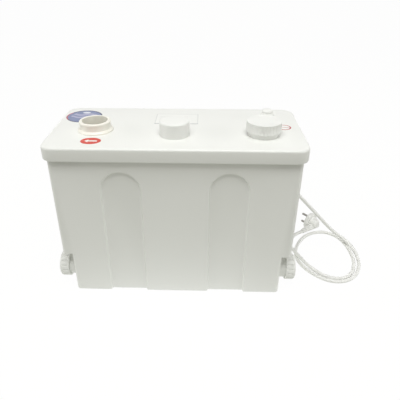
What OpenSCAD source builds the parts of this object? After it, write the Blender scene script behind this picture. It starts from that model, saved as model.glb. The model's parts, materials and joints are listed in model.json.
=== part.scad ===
// Macerator toilet pump: a moulded tank with a lid, a grinder and a pump inside
// Frame: +X to the right seen from the wall side, +Y towards the toilet, +Z up
// The origin is on the floor, at the middle of the tank's footprint

/* [Tank] */
// Width of the tank
tank_w = 414; // [402:1:440]
// Depth of the tank from the wall side to the toilet side
tank_d = 187; // [186:1:210]
// Height of the tank's rim
tank_h = 286; // [284:1:320]
// Thickness of the tank's walls
wall = 3.5; // [3:0.25:4]
// Thickness of the tank's floor
floor_t = 4; // [3:0.5:6]
// Radius of the tank's upright corners
tank_r = 8; // [6:0.5:12]
// Width of the narrow plinth under the side steps
plinth_w = 382; // [370:1:390]
// Height of the side steps
plinth_h = 82; // [74:1:90]
// Radius of the fillet under each side step
plinth_fillet = 9; // [5:0.5:12]

/* [Arched panels] */
// Width of each arched panel sunk in the wall side
arch_w = 64; // [50:1:72]
// Distance of each panel's middle from the tank's middle
arch_x = 90.5; // [86:0.5:100]
// Height at which the round top of a panel starts
arch_spring = 213.5; // [150:0.5:220]
// Depth of the panels
arch_depth = 5; // [3:0.5:6]
// Width of the sloping edge round a panel
arch_slope = 2.5; // [1:0.5:4]

/* [Lid] */
// Distance that the lid stands out past the tank
lid_overhang = 8; // [7:0.5:12]
// Thickness of the lid's top
lid_t = 3.5; // [3:0.5:5]
// Height of the lid's skirt
skirt_h = 23; // [16:1:30]
// Thickness of the lid's skirt
skirt_t = 3; // [2:0.5:4]
// Radius of the lid's corners in plan
lid_corner = 23; // [14:1:30]
// Radius of the lid's top edge
lid_edge = 4; // [2:0.5:5]
// Thickness of the gasket between the tank's rim and the lid
gasket_t = 2.5; // [1.5:0.5:4]

/* [Outlet] */
// Outlet's place across the lid
outlet_x = -139; // [-150:1:-132]
// Distance of the outlet's axis from the shaft's, towards the toilet side
outlet_set = 18; // [16:0.5:20]
// Radius of the outlet's bore
outlet_bore = 21; // [20:0.5:22]
// Wall of the outlet spigot
outlet_wall = 2.5; // [2:0.25:3.5]
// Radius of the outlet's flange on the lid
outlet_flange = 30; // [28:0.5:34]
// Thickness of the outlet's flange
outlet_flange_t = 5; // [3:0.5:7]
// Height of the outlet's rim above the lid
outlet_h = 17.5; // [14:0.5:30]
// Height of the bead round the outlet's rim
outlet_bead = 4.5; // [3:0.5:6]
// Depth of the socket in the outlet that takes the discharge elbow
outlet_socket = 26; // [20:1:28]
// Depth of the flap's seat below the lid's top
seat_drop = 44; // [43:1:48]
// Radius of the flap valve's disc
flap_r = 17; // [15:0.5:18]
// Thickness of the flap
flap_t = 3; // [2:0.5:4]

/* [Caps on the lid] */
// Service cap's place across the lid
service_x = -2.5; // [-4:0.5:4]
// Service cap's radius
service_r = 25; // [22:0.5:28]
// Service cap's height above the lid
service_h = 25; // [16:0.5:28]
// Radius of the service hole in the lid
service_hole = 19; // [15:0.5:20]
// Top inlet's place across the lid
top_inlet_x = 146; // [140:1:152]
// Distance of the top inlet's axis behind the wall side's face
top_inlet_set = 60.5; // [55.5:1:65.5]
// Radius of the top inlet's threaded neck
top_neck_r = 24; // [22:0.5:25]
// Radius of the top inlet's bore
top_bore = 20; // [16:0.5:20]
// Radius of the plain collar under the top inlet's cap
top_collar_r = 27; // [26:0.25:28]
// Height of the plain collar
top_collar_h = 8; // [5:0.5:12]
// Radius of the top inlet's cap
top_cap_r = 29; // [27:0.5:32]
// Length of thread that the top inlet's cap covers
top_thread = 11.5; // [9:0.5:14]
// Grooves round the top inlet's cap
top_grooves = 32; // [16:2:40]
// Breather's place across the lid
breather_x = 160.5; // [156:0.5:168]
// Distance of the breather's axis from the toilet side's face
breather_set = 49.5; // [43.5:1:55.5]
// Radius of the breather's foot
breather_foot = 15; // [12:0.5:18]
// Radius of the breather's cap
breather_r = 10; // [8:0.5:12]
// Height of the breather above the lid
breather_h = 18; // [14:0.5:22]

/* [Side inlets] */
// Radius of the side inlets' bores
side_bore = 16; // [14:0.5:17]
// Radius of the side inlets' necks
side_neck_r = 20; // [19:0.25:20.5]
// Length of the necks out of the plinth
side_neck = 24; // [22:1:34]
// Height of the necks' axis
side_z = 39; // [30:1:46]
// Distance of the necks' axis behind the wall side's face
side_set = 30; // [26:1:50]
// Radius of the side inlets' caps
side_cap_r = 24; // [23:0.5:26]
// Length of thread that a side cap covers
side_thread = 12.5; // [10:0.5:16]
// Grooves round a side cap
side_grooves = 16; // [10:2:24]
// Thickness of the caps' roofs
cap_roof = 3.3; // [2:0.1:5]
// Thickness of the sealing washers in the caps
washer_t = 1.8; // [1:0.2:3]

/* [Toilet inlet] */
// Radius of the sleeve that takes the toilet's outlet
wc_bore = 52; // [46:0.5:54]
// Wall of the sleeve
wc_wall = 4; // [3:0.5:5]
// Height of the sleeve's axis
wc_z = 180; // [176:1:200]
// Length of the sleeve outside the tank
wc_out = 36; // [24:1:50]
// Length of the sleeve inside the tank
wc_in = 14; // [8:1:16]
// Width of the flange that seats on the tank
wc_flange = 8; // [6:0.5:10]

/* [Motor and pump] */
// Distance of the shaft's axis behind the wall side's face
shaft_set = 56.5; // [55.5:0.5:57.5]
// Radius of the shaft
shaft_r = 5; // [4:0.25:6]
// Radius of the motor's can
can_r = 42; // [40:0.5:43]
// Height of the motor's can
can_h = 85; // [82:1:95]
// Thickness of the can's wall
can_wall = 2; // [1.5:0.25:2.5]
// Radius of the rotor core
rotor_r = 23.5; // [20:0.5:25]
// Height of the rotor and stator cores
core_h = 40; // [30:1:42]
// Height of the motor plate's underside
plate_z = 150; // [146:1:154]
// Thickness of the motor plate
plate_t = 5; // [4:0.5:8]
// Radius of the pump casing and of the grinder basket
casing_r = 50; // [48:0.5:50]
// Wall of the pump casing
casing_wall = 8; // [7:0.5:9]
// Height of the pump chamber
chamber_h = 26; // [25:0.5:30]
// Height of the grinder basket
basket_h = 66; // [50:1:72]
// Wall of the grinder basket
basket_wall = 3; // [2:0.5:4]
// Radius of the basket's holes
basket_hole = 4; // [3:0.25:4.5]
// Radius of the impeller
impeller_r = 38; // [34:0.5:39]
// Vanes on the impeller
vanes = 6; // [4:1:8]

/* [Mains lead] */
// Diameter of the mains lead
lead_d = 7; // [5.6:0.1:7.2]
// Distance of the gland's axis from the toilet side's face
gland_set = 36.5; // [31.5:1:41.5]
// Height of the gland
gland_z = 144; // [140:1:156]
// Radius of the plug's face
plug_r = 19; // [17:0.5:19]
// Length of the plug's pins
pin_len = 19; // [16:0.5:20]
// Distance between the pins
pin_pitch = 19; // [17:0.5:20]

/* [Hidden] */
$fn = 64;

// Clearances: flat seats, parts that part, running fits, threads
seat_gap = 0.1;
slip_gap = 0.4;
run_gap = 0.05;
thread_gap = 0.5;
// Overlap that joins the solids of one piece, and that takes a cut past a face
weld = 0.5;
past = 1;

// Heights that the lid sits at
lid_z = tank_h + gasket_t;
top_z = lid_z + lid_t;
lid_w = tank_w + 2 * lid_overhang;
lid_d = tank_d + 2 * lid_overhang;
// The corner of the lid leaves room for the corner of the tank
corner_share = 1 - sqrt(0.5);
lid_corner_most = skirt_t + tank_r + (lid_overhang - skirt_t - past) / corner_share;
lid_r = min(lid_corner, lid_corner_most);

// Faces of the tank
front_y = -tank_d / 2;
back_y = tank_d / 2;
side_x = tank_w / 2;
plinth_x = plinth_w / 2;
side_y = front_y + side_set;
shaft_y = front_y + shaft_set;
outlet_y = shaft_y + outlet_set;
top_inlet_y = front_y + top_inlet_set;
breather_y = back_y - breather_set;
gland_y = back_y - gland_set;
corner_steps = 6;
arch_steps = 18;

// Side cap along its own axis, from the neck's root
side_cap_from = side_neck - side_thread;
side_cap_len = side_thread + washer_t + 2 * seat_gap + cap_roof;
side_cap_bore = side_neck_r + thread_gap;
cap_chamfer = 2.2;
side_groove_r = 1.8;

// Top inlet above the lid
top_neck_h = top_collar_h + top_thread;
top_cap_len = top_thread + washer_t + 2 * seat_gap + cap_roof;
top_cap_bore = top_neck_r + thread_gap;
top_groove_r = 1.2;

// Outlet spigot, downwards through the lid
outlet_r = outlet_bore + outlet_wall;
socket_step = 0.6;
socket_in = outlet_bore + socket_step;
seat_z = top_z - seat_drop;
seat_t = 4;
seat_r = 14;
flap_back = 2.5;
flap_axis_set = 15;
flap_axis_y = outlet_y + flap_axis_set;
flap_lug_r = 3;
flap_lug_w = 12;
flap_lug_gap = 0.6;
flap_pin_r = 1.5;
flap_axis_z = seat_z + flap_lug_r + flap_lug_gap;
pin_grip = 1.6;
flap_pin_half = sqrt(pow(outlet_bore, 2) - pow(flap_axis_y - outlet_y, 2)) + pin_grip;
tail_r = 19;
tail_bore = 16;
tail_h = 18;
tail_z = seat_z - seat_t - tail_h;
nut_h = 6;
nut_wall = 7;
nut_r = outlet_r + nut_wall;
seal_h = 5;
seal_gap = 0.05;
seal_wall = 1.6;
seal_set = 3;
seal_r = tail_r + seal_wall;
bead_out = 3.3;
waist_out = 2.8;

// Service cap
plug_drop = 12;
service_seal_t = 2.5;
service_seal_h = 4;
service_seal_drop = lid_t + 2;
service_wall = 3;

// Breather
breather_stem = 4;
breather_hole = 5;
breather_neck = 11;
breather_cap_t = 5;
filter_h = 14;
filter_r = 11;

// Pump, upwards from the tank's floor
pump_foot_h = 12;
suction_t = 4;
suction_r = 16;
foot_r = 6;
chamber_r = casing_r - casing_wall;
suction_z = floor_t + pump_foot_h;
volute_z = suction_z + suction_t;
roof_t = 6;
volute_h = chamber_h + roof_t;
basket_z = volute_z + volute_h;
basket_floor = 3;
screw_r = 2;
screw_head_r = 3.6;
screw_head_h = 2.5;
screw_len = 10;
screw_slip = 0.1;
casing_screw_count = 4;

// Discharge, from the pump's side to under the outlet
branch_r = 12;
branch_wall = 3;
branch_z = volute_z + volute_h / 2;
branch_start = 30;
stub_len = 68;
hose_gap = 6;
hose_wall = 4;
hose_lap = 14;
clip_w = 8;
clip_t = 1.2;
riser_bore = 17;
riser_wall = 3;
riser_r = riser_bore + riser_wall;
riser_foot = branch_z - branch_r - branch_wall - riser_wall;
socket_bore = seal_r + seal_gap;
socket_r = socket_bore + riser_wall;
socket_drop = 2;
socket_top = seat_z - seat_t - socket_drop;
socket_h = tail_h - socket_drop / 2;

// Motor, upwards from its plate
can_z = plate_z + plate_t;
cap_z = can_z + can_h;
motor_cap_t = 6;
plate_x = 78;
plate_back_set = 55;
plate_back = shaft_y + plate_back_set;
plate_clear = 1.5;
plate_front = front_y + arch_depth + wall + plate_clear;
post_r = 5;
post_x = 66;
post_front_set = 41;
post_back_set = 47;
post_front = shaft_y - post_front_set;
post_back = shaft_y + post_back_set;
bearing_r = 11;
bearing_h = 8;
bearing_wall = 3;
shaft_clear = 1;
shaft_hole = shaft_r + shaft_clear;
lip_r = 10;
core_rise = 25;
core_z = can_z + core_rise;
air_gap = 0.6;
stator_out = can_r - can_wall;
winding_in = 27;
winding_set = 2;
winding_out = stator_out - winding_set;
winding_h = 11;
slot_w = 2;
slot_depth = 4;
shaft_rise = 2;
shaft_stub = 10;
shaft_low = volute_z + shaft_rise;
shaft_top = cap_z + motor_cap_t + shaft_stub;

// Grinder and impeller on the shaft
blade_lift = 5;
blade_z = basket_z + basket_floor + blade_lift;
blade_t = 4;
blade_w = 14;
blade_tip_gap = 3;
blade_reach = casing_r - basket_wall - blade_tip_gap;
hub_wall = 5;
hub_r = shaft_r + hub_wall;
blade_hub_h = 14;
blade_nut_wall = 3.5;
blade_nut_r = shaft_r + blade_nut_wall;
blade_nut_h = 7;
disc_t = 3;
impeller_gap = 3;
vane_t = 2.5;
vane_lean = 25;
impeller_top = volute_z + chamber_h - impeller_gap;
vane_low = volute_z + impeller_gap;

// Capacitor on the motor plate
capacitor_r = 15;
capacitor_h = 60;
capacitor_x = 60;
clip_band = 12;
clip_wall = 1.5;
clip_foot = 10;

// Level switch on its air tube
tube_x = 120;
tube_set = 53.5;
tube_y = back_y - tube_set;
tube_r = 17;
tube_wall = 3;
tube_h = 166;
tube_slot_w = 8;
tube_slot_h = 12;
dish_r = 24;
dish_floor = 3;
dish_h = 8;
dish_lip = 4;
diaphragm_t = 1.2;
cover_h = 11;
cover_roof = 4;
plunger_r = 3;
plunger_flange_r = 8;
plunger_flange_t = 2;
plunger_travel = 2;
dish_z = floor_t + tube_h;
diaphragm_z = dish_z + dish_h;
cover_z = diaphragm_z + diaphragm_t;
cover_top = cover_z + cover_h;
plunger_z = cover_z + seat_gap;
plunger_rise = 6;
plunger_top = cover_top + plunger_rise;
micro_w = 30;
micro_d = 12;
micro_h = 14;
micro_leg = 5;
micro_z = plunger_top + plunger_travel + slip_gap;

// Terminal box behind the gland
box_x = 40;
box_y = 46;
box_z = 44;
box_wall = 2.5;
box_lid_t = 3;
gland_r = 10;
gland_shank = 7;
gland_out = 7;
gland_tail = 6;

// Strain relief, bent down by its own lead
relief_start = side_x + gland_out;
relief_bend = 28;
relief_turn = 46;
relief_big = 6;
relief_wall = 0.9;
relief_small = lead_d / 2 + relief_wall;
relief_steps = 8;
relief_sides = 16;

// Plug: its face's middle, the way its pins point, its body behind the face
plug_at = [291, 131, plug_r];
plug_turn = 131;
plug_face_t = 9;
plug_back_r = 13;
plug_back_t = 15;
plug_back_taper = 3;
plug_exit_set = 14;
plug_neck = 40;
plug_neck_back = 12;
plug_neck_drop = 6;
plug_neck_big = 10;
plug_neck_wall = 1.2;
plug_neck_small = lead_d / 2 + plug_neck_wall;
pin_r = 2.4;
pin_root = 5;
// The lead's end, where the plug's neck grips it
plug_exit = [
    plug_at[0] - plug_exit_set * cos(plug_turn) - plug_neck * sin(plug_turn),
    plug_at[1] - plug_exit_set * sin(plug_turn) + plug_neck * cos(plug_turn),
    plug_at[2] - plug_neck_drop
];

// The lead's way from the strain relief, down to the floor, round twice and to the plug
// Each height is a rise above a lead that lies on the floor
lead_rest = lead_d / 2;
relief_end = [
    relief_start + relief_bend * sin(relief_turn),
    gland_y,
    gland_z - relief_bend * (1 - cos(relief_turn))
];
lead_way = [
    [247, 57, 117.5], [270, 58, 93], [294, 60, 67], [318, 63, 41], [337, 65, 23.5],
    [353, 60, 13.8], [364, 46, 7.4], [370, 28, 2.2], [370, 8, 0], [365, -14, 0],
    [354, -37, 0], [338, -54, 0], [318, -63, 0], [297, -62, 0], [278, -52, 0],
    [261.5, -35, 0], [249.5, -15, 0], [243.5, 8, 0], [246, 34, 0], [257, 62, 0],
    [276, 88, 0], [299, 103, 0], [322, 106, 0], [341, 96, 0], [353, 78, 0],
    [359, 56, 0], [361, 32, 0], [360, 8, 0], [354, -16, 0], [345, -35, 0],
    [329, -50.5, 0], [309, -54.6, 0], [289, -49.6, 1.6], [271.5, -36.6, 4.4], [256.5, -17.5, 7],
    [245.8, 6, 8.4], [238.6, 30, 6.4], [237, 54, 2.6], [244, 73, 4.3], [253, 84, 7.4]
];
lead_sides = 10;
lead_steps = 2;
gap_steps = 4;
gap_skip = 24;

// Points along an arc
function arc_points(cx, cy, r, from, to, n) =
    [for (i = [0:n]) let (a = from + (to - from) * i / n) [cx + r * cos(a), cy + r * sin(a)]];

// Outline of a rectangle with round corners
function round_rect(w, d, r) = concat(
    arc_points(w / 2 - r, d / 2 - r, r, 0, 90, corner_steps),
    arc_points(r - w / 2, d / 2 - r, r, 90, 180, corner_steps),
    arc_points(r - w / 2, r - d / 2, r, 180, 270, corner_steps),
    arc_points(w / 2 - r, r - d / 2, r, 270, 360, corner_steps)
);

// Outline of a panel with a round top, seen from the wall side
function arch_points(half, base) = concat(
    [[-half, base], [half, base]],
    arc_points(0, arch_spring, half, 0, 180, arch_steps)
);

// Vector helpers for the swept tubes
function unit(v) = v / norm(v);
function flat_side(t) = unit(cross(t, [0, 0, 1]));

// One point of a smooth curve through four neighbours
function curve_point(a, b, c, d, t) =
    0.5 * ((2 * b) + (c - a) * t + (2 * a - 5 * b + 4 * c - d) * t * t
        + (3 * b - a - 3 * c + d) * t * t * t);

// A smooth run of points through the chosen ones
function smooth_run(p, n) = let (last = len(p) - 1) concat(
    [for (i = [0:last - 1], j = [0:n - 1])
        curve_point(p[max(i - 1, 0)], p[i], p[i + 1], p[min(i + 2, last)], j / n)],
    [p[last]]
);

// Direction of a run at each of its points, with its two ends given
function run_ways(p, first, final) = let (last = len(p) - 1)
    [for (i = [0:last]) i == 0 ? unit(first) : i == last ? unit(final) : unit(p[i + 1] - p[i - 1])];

// Length of a run of points
function run_length(p, i = 1) = i >= len(p) ? 0 : norm(p[i] - p[i - 1]) + run_length(p, i + 1);

// Least distance between stretches of a run that are more than skip points apart
function least_gap(p, skip) =
    min([for (i = [0:len(p) - 1], j = [i + skip:1:len(p) - 1]) norm(p[i] - p[j])]);

// A tube swept along points, with a radius at each of them
module swept_tube(p, ways, radii, sides) {
    last = len(p) - 1;
    rings = [for (i = [0:last], k = [0:sides - 1])
        let (t = ways[i], s = flat_side(t), u = cross(s, t), a = 360 * k / sides)
            p[i] + radii[i] * (cos(a) * s + sin(a) * u)];
    walls = [for (i = [0:last - 1], k = [0:sides - 1])
        let (m = (k + 1) % sides, a = i * sides, b = a + sides)
            each [[a + k, b + m, a + m], [a + k, b + k, b + m]]];
    first_end = [for (k = [1:sides - 2]) [0, k, k + 1]];
    final_end = [for (k = [1:sides - 2]) [last * sides, last * sides + k + 1, last * sides + k]];
    polyhedron(rings, concat(walls, first_end, final_end));
}

// An upright block with round corners
module block(w, d, r, h) { linear_extrude(h) polygon(round_rect(w, d, r)); }

// An upright ring
module ring(outer, inner, h) {
    difference() {
        cylinder(r = outer, h = h);
        translate([0, 0, -past]) cylinder(r = inner, h = h + 2 * past);
    }
}

// A thin upright slab of a panel's outline, whose wall side is at y
module arch_slab(half, y, t) {
    translate([0, y + t, 0]) rotate([90, 0, 0]) linear_extrude(t) polygon(arch_points(half, -past));
}

// The space of one sunk panel, grown by a margin
module arch_space(margin) {
    thin = 0.2;
    hull() {
        arch_slab(arch_w / 2 + arch_slope + margin, front_y - past, past);
        arch_slab(arch_w / 2 + margin, front_y + arch_depth + margin - thin, thin);
    }
}

// Both sunk panels
module arch_pair(margin) {
    for (s = [-1, 1]) translate([s * arch_x, 0, 0]) arch_space(margin);
}

// The rounded corner under one side step
module step_fillet() {
    f = plinth_fillet;
    profile = concat(
        [[plinth_x - weld, plinth_h + weld], [plinth_x + f, plinth_h + weld]],
        arc_points(plinth_x + f, plinth_h - f, f, 90, 180, corner_steps),
        [[plinth_x - weld, plinth_h - f]]
    );
    run = tank_d - 2 * tank_r;
    translate([0, run / 2, 0]) rotate([90, 0, 0]) linear_extrude(run) polygon(profile);
}

// Moves a part built along +Z onto a side inlet's axis
module on_side_inlet(side, out) {
    mirror([side < 0 ? 1 : 0, 0, 0])
        translate([plinth_x + out, side_y, side_z]) rotate([0, 90, 0]) children();
}

module tank() color("whitesmoke") {
    inner_w = tank_w - 2 * wall;
    inner_d = tank_d - 2 * wall;
    inner_r = tank_r - wall / 2;
    step_top = plinth_h + wall;
    difference() {
        union() {
            translate([0, 0, plinth_h]) block(tank_w, tank_d, tank_r, tank_h - plinth_h);
            block(plinth_w, tank_d, tank_r, plinth_h + weld);
            step_fillet();
            mirror([1, 0, 0]) step_fillet();
            for (s = [-1, 1]) on_side_inlet(s, -wall) cylinder(r = side_neck_r, h = side_neck + wall);
        }
        difference() {
            union() {
                translate([0, 0, step_top]) block(inner_w, inner_d, inner_r, tank_h);
                translate([0, 0, floor_t]) block(plinth_w - 2 * wall, inner_d, inner_r, step_top);
            }
            arch_pair(wall);
        }
        arch_pair(0);
        for (s = [-1, 1]) on_side_inlet(s, -wall - past)
            cylinder(r = side_bore, h = side_neck + wall + 2 * past);
        translate([0, back_y - wall - past, wc_z])
            rotate([-90, 0, 0]) cylinder(r = wc_bore + wc_wall, h = wall + 2 * past);
        translate([side_x - wall - past, gland_y, gland_z])
            rotate([0, 90, 0]) cylinder(r = gland_shank, h = wall + 2 * past);
    }
}

module lid_gasket() color("dimgray") {
    translate([0, 0, tank_h]) difference() {
        block(tank_w, tank_d, tank_r, gasket_t);
        translate([0, 0, -past])
            block(tank_w - 2 * wall, tank_d - 2 * wall, tank_r - wall / 2, gasket_t + 2 * past);
    }
}

module wc_sleeve() color("dimgray") {
    outer = wc_bore + wc_wall;
    translate([0, back_y - wall - wc_in, wc_z]) rotate([-90, 0, 0]) difference() {
        union() {
            cylinder(r = outer, h = wc_in + wall + wc_out);
            translate([0, 0, wc_in + wall]) cylinder(r = outer + wc_flange, h = wc_wall);
        }
        translate([0, 0, -past]) cylinder(r = wc_bore, h = wc_in + wall + wc_out + 2 * past);
    }
}

module wc_clamp() color("silver") {
    band = 10;
    band_t = 1.2;
    band_set = 4;
    lug = 12;
    lug_out = 10;
    outer = wc_bore + wc_wall;
    translate([0, back_y + wc_out - band - band_set, wc_z]) rotate([-90, 0, 0]) difference() {
        union() {
            cylinder(r = outer + band_t, h = band);
            translate([outer - wc_wall / 2, -lug / 2, 0]) cube([lug_out, lug, band]);
        }
        translate([0, 0, -past]) cylinder(r = outer, h = band + 2 * past);
    }
}

module cable_gland() color("gainsboro") {
    translate([side_x, gland_y, gland_z]) rotate([0, 90, 0]) {
        cylinder(r = gland_r, h = gland_out);
        translate([0, 0, -wall - gland_tail]) cylinder(r = gland_shank, h = wall + gland_tail + weld);
    }
}

// Points of the strain relief's bend
relief_points = [for (i = [0:relief_steps]) let (a = relief_turn * i / relief_steps)
    [relief_start + relief_bend * sin(a), gland_y, gland_z - relief_bend * (1 - cos(a))]];

module strain_relief() color("white") {
    ways = [for (i = [0:relief_steps]) let (a = relief_turn * i / relief_steps) [cos(a), 0, -sin(a)]];
    radii = [for (i = [0:relief_steps])
        relief_big + (relief_small - relief_big) * i / relief_steps];
    swept_tube(relief_points, ways, radii, relief_sides);
}

lead_laid = [for (p = lead_way) p + [0, 0, lead_rest]];
lead_points = smooth_run(concat([relief_end], lead_laid, [plug_exit]), lead_steps);
lead_first = [cos(relief_turn), 0, -sin(relief_turn)];
lead_final = [sin(plug_turn), -cos(plug_turn), 0];
echo(lead_length = run_length(lead_points));
echo(lead_self_gap = least_gap(smooth_run(lead_points, gap_steps), gap_skip) - lead_d);

module mains_lead() color("white") {
    ways = run_ways(lead_points, lead_first, lead_final);
    swept_tube(lead_points, ways, [for (p = lead_points) lead_rest], lead_sides);
}

// Moves a part built with its pins along +X and its lead along +Y to the plug's place
module on_plug() { translate(plug_at) rotate([0, 0, plug_turn]) children(); }

module plug_body() color("white") {
    on_plug() difference() {
        union() {
            translate([-plug_face_t, 0, 0]) rotate([0, 90, 0]) cylinder(r = plug_r, h = plug_face_t);
            translate([-plug_face_t - plug_back_t, 0, 0]) rotate([0, 90, 0])
                cylinder(r1 = plug_back_r - plug_back_taper, r2 = plug_back_r, h = plug_back_t + weld);
            translate([-plug_exit_set, -plug_neck_back, -plug_neck_drop]) rotate([-90, 0, 0])
                cylinder(r1 = plug_neck_big, r2 = plug_neck_small, h = plug_neck_back + plug_neck);
        }
        for (s = [-1, 1]) translate([-pin_root, 0, s * pin_pitch / 2]) rotate([0, 90, 0])
            cylinder(r = pin_r, h = pin_root + past);
    }
}

module plug_pins() color("silver") {
    for (s = [-1, 1]) on_plug() translate([-pin_root, 0, s * pin_pitch / 2]) rotate([0, 90, 0])
        cylinder(r = pin_r, h = pin_root + pin_len);
}

// Moves a part to the motor's axis
module on_shaft(z) { translate([0, shaft_y, z]) children(); }

// Places of the motor plate's posts
module at_posts() {
    for (x = [-post_x, post_x], y = [post_front, post_back]) translate([x, y, 0]) children();
}

module motor_plate() color("lightgray") {
    difference() {
        union() {
            translate([-plate_x, plate_front, plate_z])
                cube([2 * plate_x, plate_back - plate_front, plate_t]);
            at_posts() translate([0, 0, floor_t]) cylinder(r = post_r, h = plate_z - floor_t + weld);
        }
        on_shaft(plate_z - past) cylinder(r = lip_r, h = plate_t + 2 * past);
        at_posts() translate([0, 0, can_z - screw_len])
            cylinder(r = screw_r + screw_slip, h = screw_len + past);
    }
}

module plate_screws() color("silver") {
    at_posts() {
        translate([0, 0, can_z]) cylinder(r = screw_head_r, h = screw_head_h);
        translate([0, 0, can_z - screw_len]) cylinder(r = screw_r, h = screw_len + weld);
    }
}

module motor_can() color("darkgray") {
    on_shaft(can_z) {
        ring(can_r, can_r - can_wall, can_h);
        ring(can_r - can_wall / 2, shaft_hole, can_wall);
        ring(bearing_r + bearing_wall, bearing_r, can_wall + bearing_h);
    }
}

module motor_cap() color("darkgray") {
    on_shaft(cap_z) {
        ring(can_r, shaft_hole, motor_cap_t);
        translate([0, 0, -bearing_h]) ring(bearing_r + bearing_wall, bearing_r, bearing_h + weld);
    }
}

module stator_core() color("slategray") {
    on_shaft(core_z) ring(stator_out, rotor_r + air_gap, core_h);
}

module stator_windings() color("chocolate") {
    for (z = [core_z - winding_h, core_z + core_h]) on_shaft(z) ring(winding_out, winding_in, winding_h);
}

module bearing(z) { on_shaft(z) ring(bearing_r, shaft_r + run_gap, bearing_h); }

module lower_bearing() color("silver") bearing(can_z + can_wall);

module upper_bearing() color("silver") bearing(cap_z - bearing_h);

module shaft_seal() color("black") { on_shaft(plate_z) ring(lip_r, shaft_r + run_gap, plate_t); }

// Places of the casing's screws, in its wall
module at_casing_screws() {
    for (i = [0:casing_screw_count - 1]) on_shaft(0)
        rotate([0, 0, 45 + 360 * i / casing_screw_count])
            translate([casing_r - casing_wall / 2, 0, 0]) children();
}

// A level cylinder along the discharge branch, from one place to another
module branch_rod(from, to, r) {
    translate([min(from, to), outlet_y, branch_z]) rotate([0, 90, 0]) cylinder(r = r, h = abs(to - from));
}

module volute() color("dimgray") {
    difference() {
        union() {
            on_shaft(volute_z) cylinder(r = casing_r, h = volute_h);
            branch_rod(-branch_start, -stub_len, branch_r + branch_wall);
        }
        on_shaft(volute_z - past) cylinder(r = chamber_r, h = chamber_h + past);
        on_shaft(volute_z) cylinder(r = shaft_r + slip_gap, h = volute_h + past);
        branch_rod(0, -stub_len - past, branch_r);
        at_casing_screws() translate([0, 0, volute_z - past])
            cylinder(r = screw_r + screw_slip, h = screw_len + past);
    }
}

module suction_plate() color("gray") {
    difference() {
        union() {
            on_shaft(suction_z) cylinder(r = casing_r, h = suction_t);
            for (a = [0, 120, 240]) on_shaft(floor_t) rotate([0, 0, a + 30])
                translate([chamber_r - foot_r, 0, 0]) cylinder(r = foot_r, h = pump_foot_h + weld);
        }
        on_shaft(suction_z - past) cylinder(r = suction_r, h = suction_t + 2 * past);
        at_casing_screws() translate([0, 0, suction_z - past])
            cylinder(r = screw_r + screw_slip, h = suction_t + 2 * past);
    }
}

module casing_screws() color("silver") {
    at_casing_screws() {
        translate([0, 0, suction_z - screw_head_h]) cylinder(r = screw_head_r, h = screw_head_h);
        translate([0, 0, suction_z - weld]) cylinder(r = screw_r, h = screw_len + suction_t);
    }
}

module grinder_basket() color("lightsteelblue") {
    rows = 3;
    around = 12;
    row_step = (basket_h - basket_floor) / (rows + 0.5);
    inside = casing_r - 2 * basket_wall;
    on_shaft(basket_z) difference() {
        cylinder(r = casing_r, h = basket_h);
        translate([0, 0, basket_floor]) cylinder(r = casing_r - basket_wall, h = basket_h);
        translate([0, 0, -past]) cylinder(r = shaft_r + slip_gap, h = basket_floor + 2 * past);
        for (i = [0:rows - 1], k = [0:around - 1])
            rotate([0, 0, (k + i / 2) * 360 / around])
                translate([inside, 0, basket_floor + row_step * (i + 0.75)])
                    rotate([0, 90, 0]) cylinder(r = basket_hole, h = 3 * basket_wall);
    }
}

module discharge_hose() color("black") {
    inner = branch_r + branch_wall;
    difference() {
        branch_rod(hose_lap - stub_len, -stub_len - hose_gap - hose_lap, inner + hose_wall);
        branch_rod(hose_lap - stub_len + past, -stub_len - hose_gap - hose_lap - past, inner);
    }
}

module hose_clips() color("silver") {
    outer = branch_r + branch_wall + hose_wall;
    inset = 3;
    near = hose_lap - stub_len - inset;
    far = -stub_len - hose_gap - hose_lap + inset;
    for (from = [near, far + clip_w]) difference() {
        branch_rod(from, from - clip_w, outer + clip_t);
        branch_rod(from + past, from - clip_w - past, outer);
    }
}

module discharge_pipe() color("whitesmoke") {
    difference() {
        union() {
            translate([outlet_x, outlet_y, riser_foot]) cylinder(r = riser_r, h = socket_top - riser_foot);
            translate([outlet_x, outlet_y, socket_top - socket_h - riser_wall])
                cylinder(r = socket_r, h = socket_h + riser_wall);
            branch_rod(-stub_len - hose_gap, outlet_x, branch_r + branch_wall);
            translate([outlet_x, outlet_y, floor_t]) cylinder(r = foot_r, h = riser_foot - floor_t + weld);
        }
        translate([outlet_x, outlet_y, riser_foot + riser_wall])
            cylinder(r = riser_bore, h = socket_top - riser_foot);
        translate([outlet_x, outlet_y, socket_top - socket_h])
            cylinder(r = socket_bore, h = socket_h + past);
        branch_rod(-stub_len - hose_gap + past, outlet_x, branch_r);
    }
}

module capacitor() color("aliceblue") {
    translate([capacitor_x, shaft_y, can_z]) cylinder(r = capacitor_r, h = capacitor_h);
}

module capacitor_clip() color("silver") {
    outer = capacitor_r + clip_wall;
    translate([capacitor_x, shaft_y, can_z]) difference() {
        union() {
            cylinder(r = outer, h = clip_band);
            translate([-clip_foot / 2, -outer - clip_foot + clip_wall, 0])
                cube([clip_foot, clip_foot, clip_wall]);
        }
        translate([0, 0, -past]) cylinder(r = capacitor_r, h = clip_band + 2 * past);
    }
}

// Corner of the terminal box that is furthest from the gland
box_corner = [side_x - wall - box_x, gland_y - box_y / 2, gland_z - box_z / 2];

module terminal_box() color("dimgray") {
    translate(box_corner) difference() {
        cube([box_x, box_y, box_z]);
        translate([box_wall, box_wall, box_wall])
            cube([box_x - 2 * box_wall, box_y - 2 * box_wall, box_z]);
        translate([box_x - box_wall - past, box_y / 2, box_z / 2])
            rotate([0, 90, 0]) cylinder(r = gland_shank, h = box_wall + 2 * past);
    }
}

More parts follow.
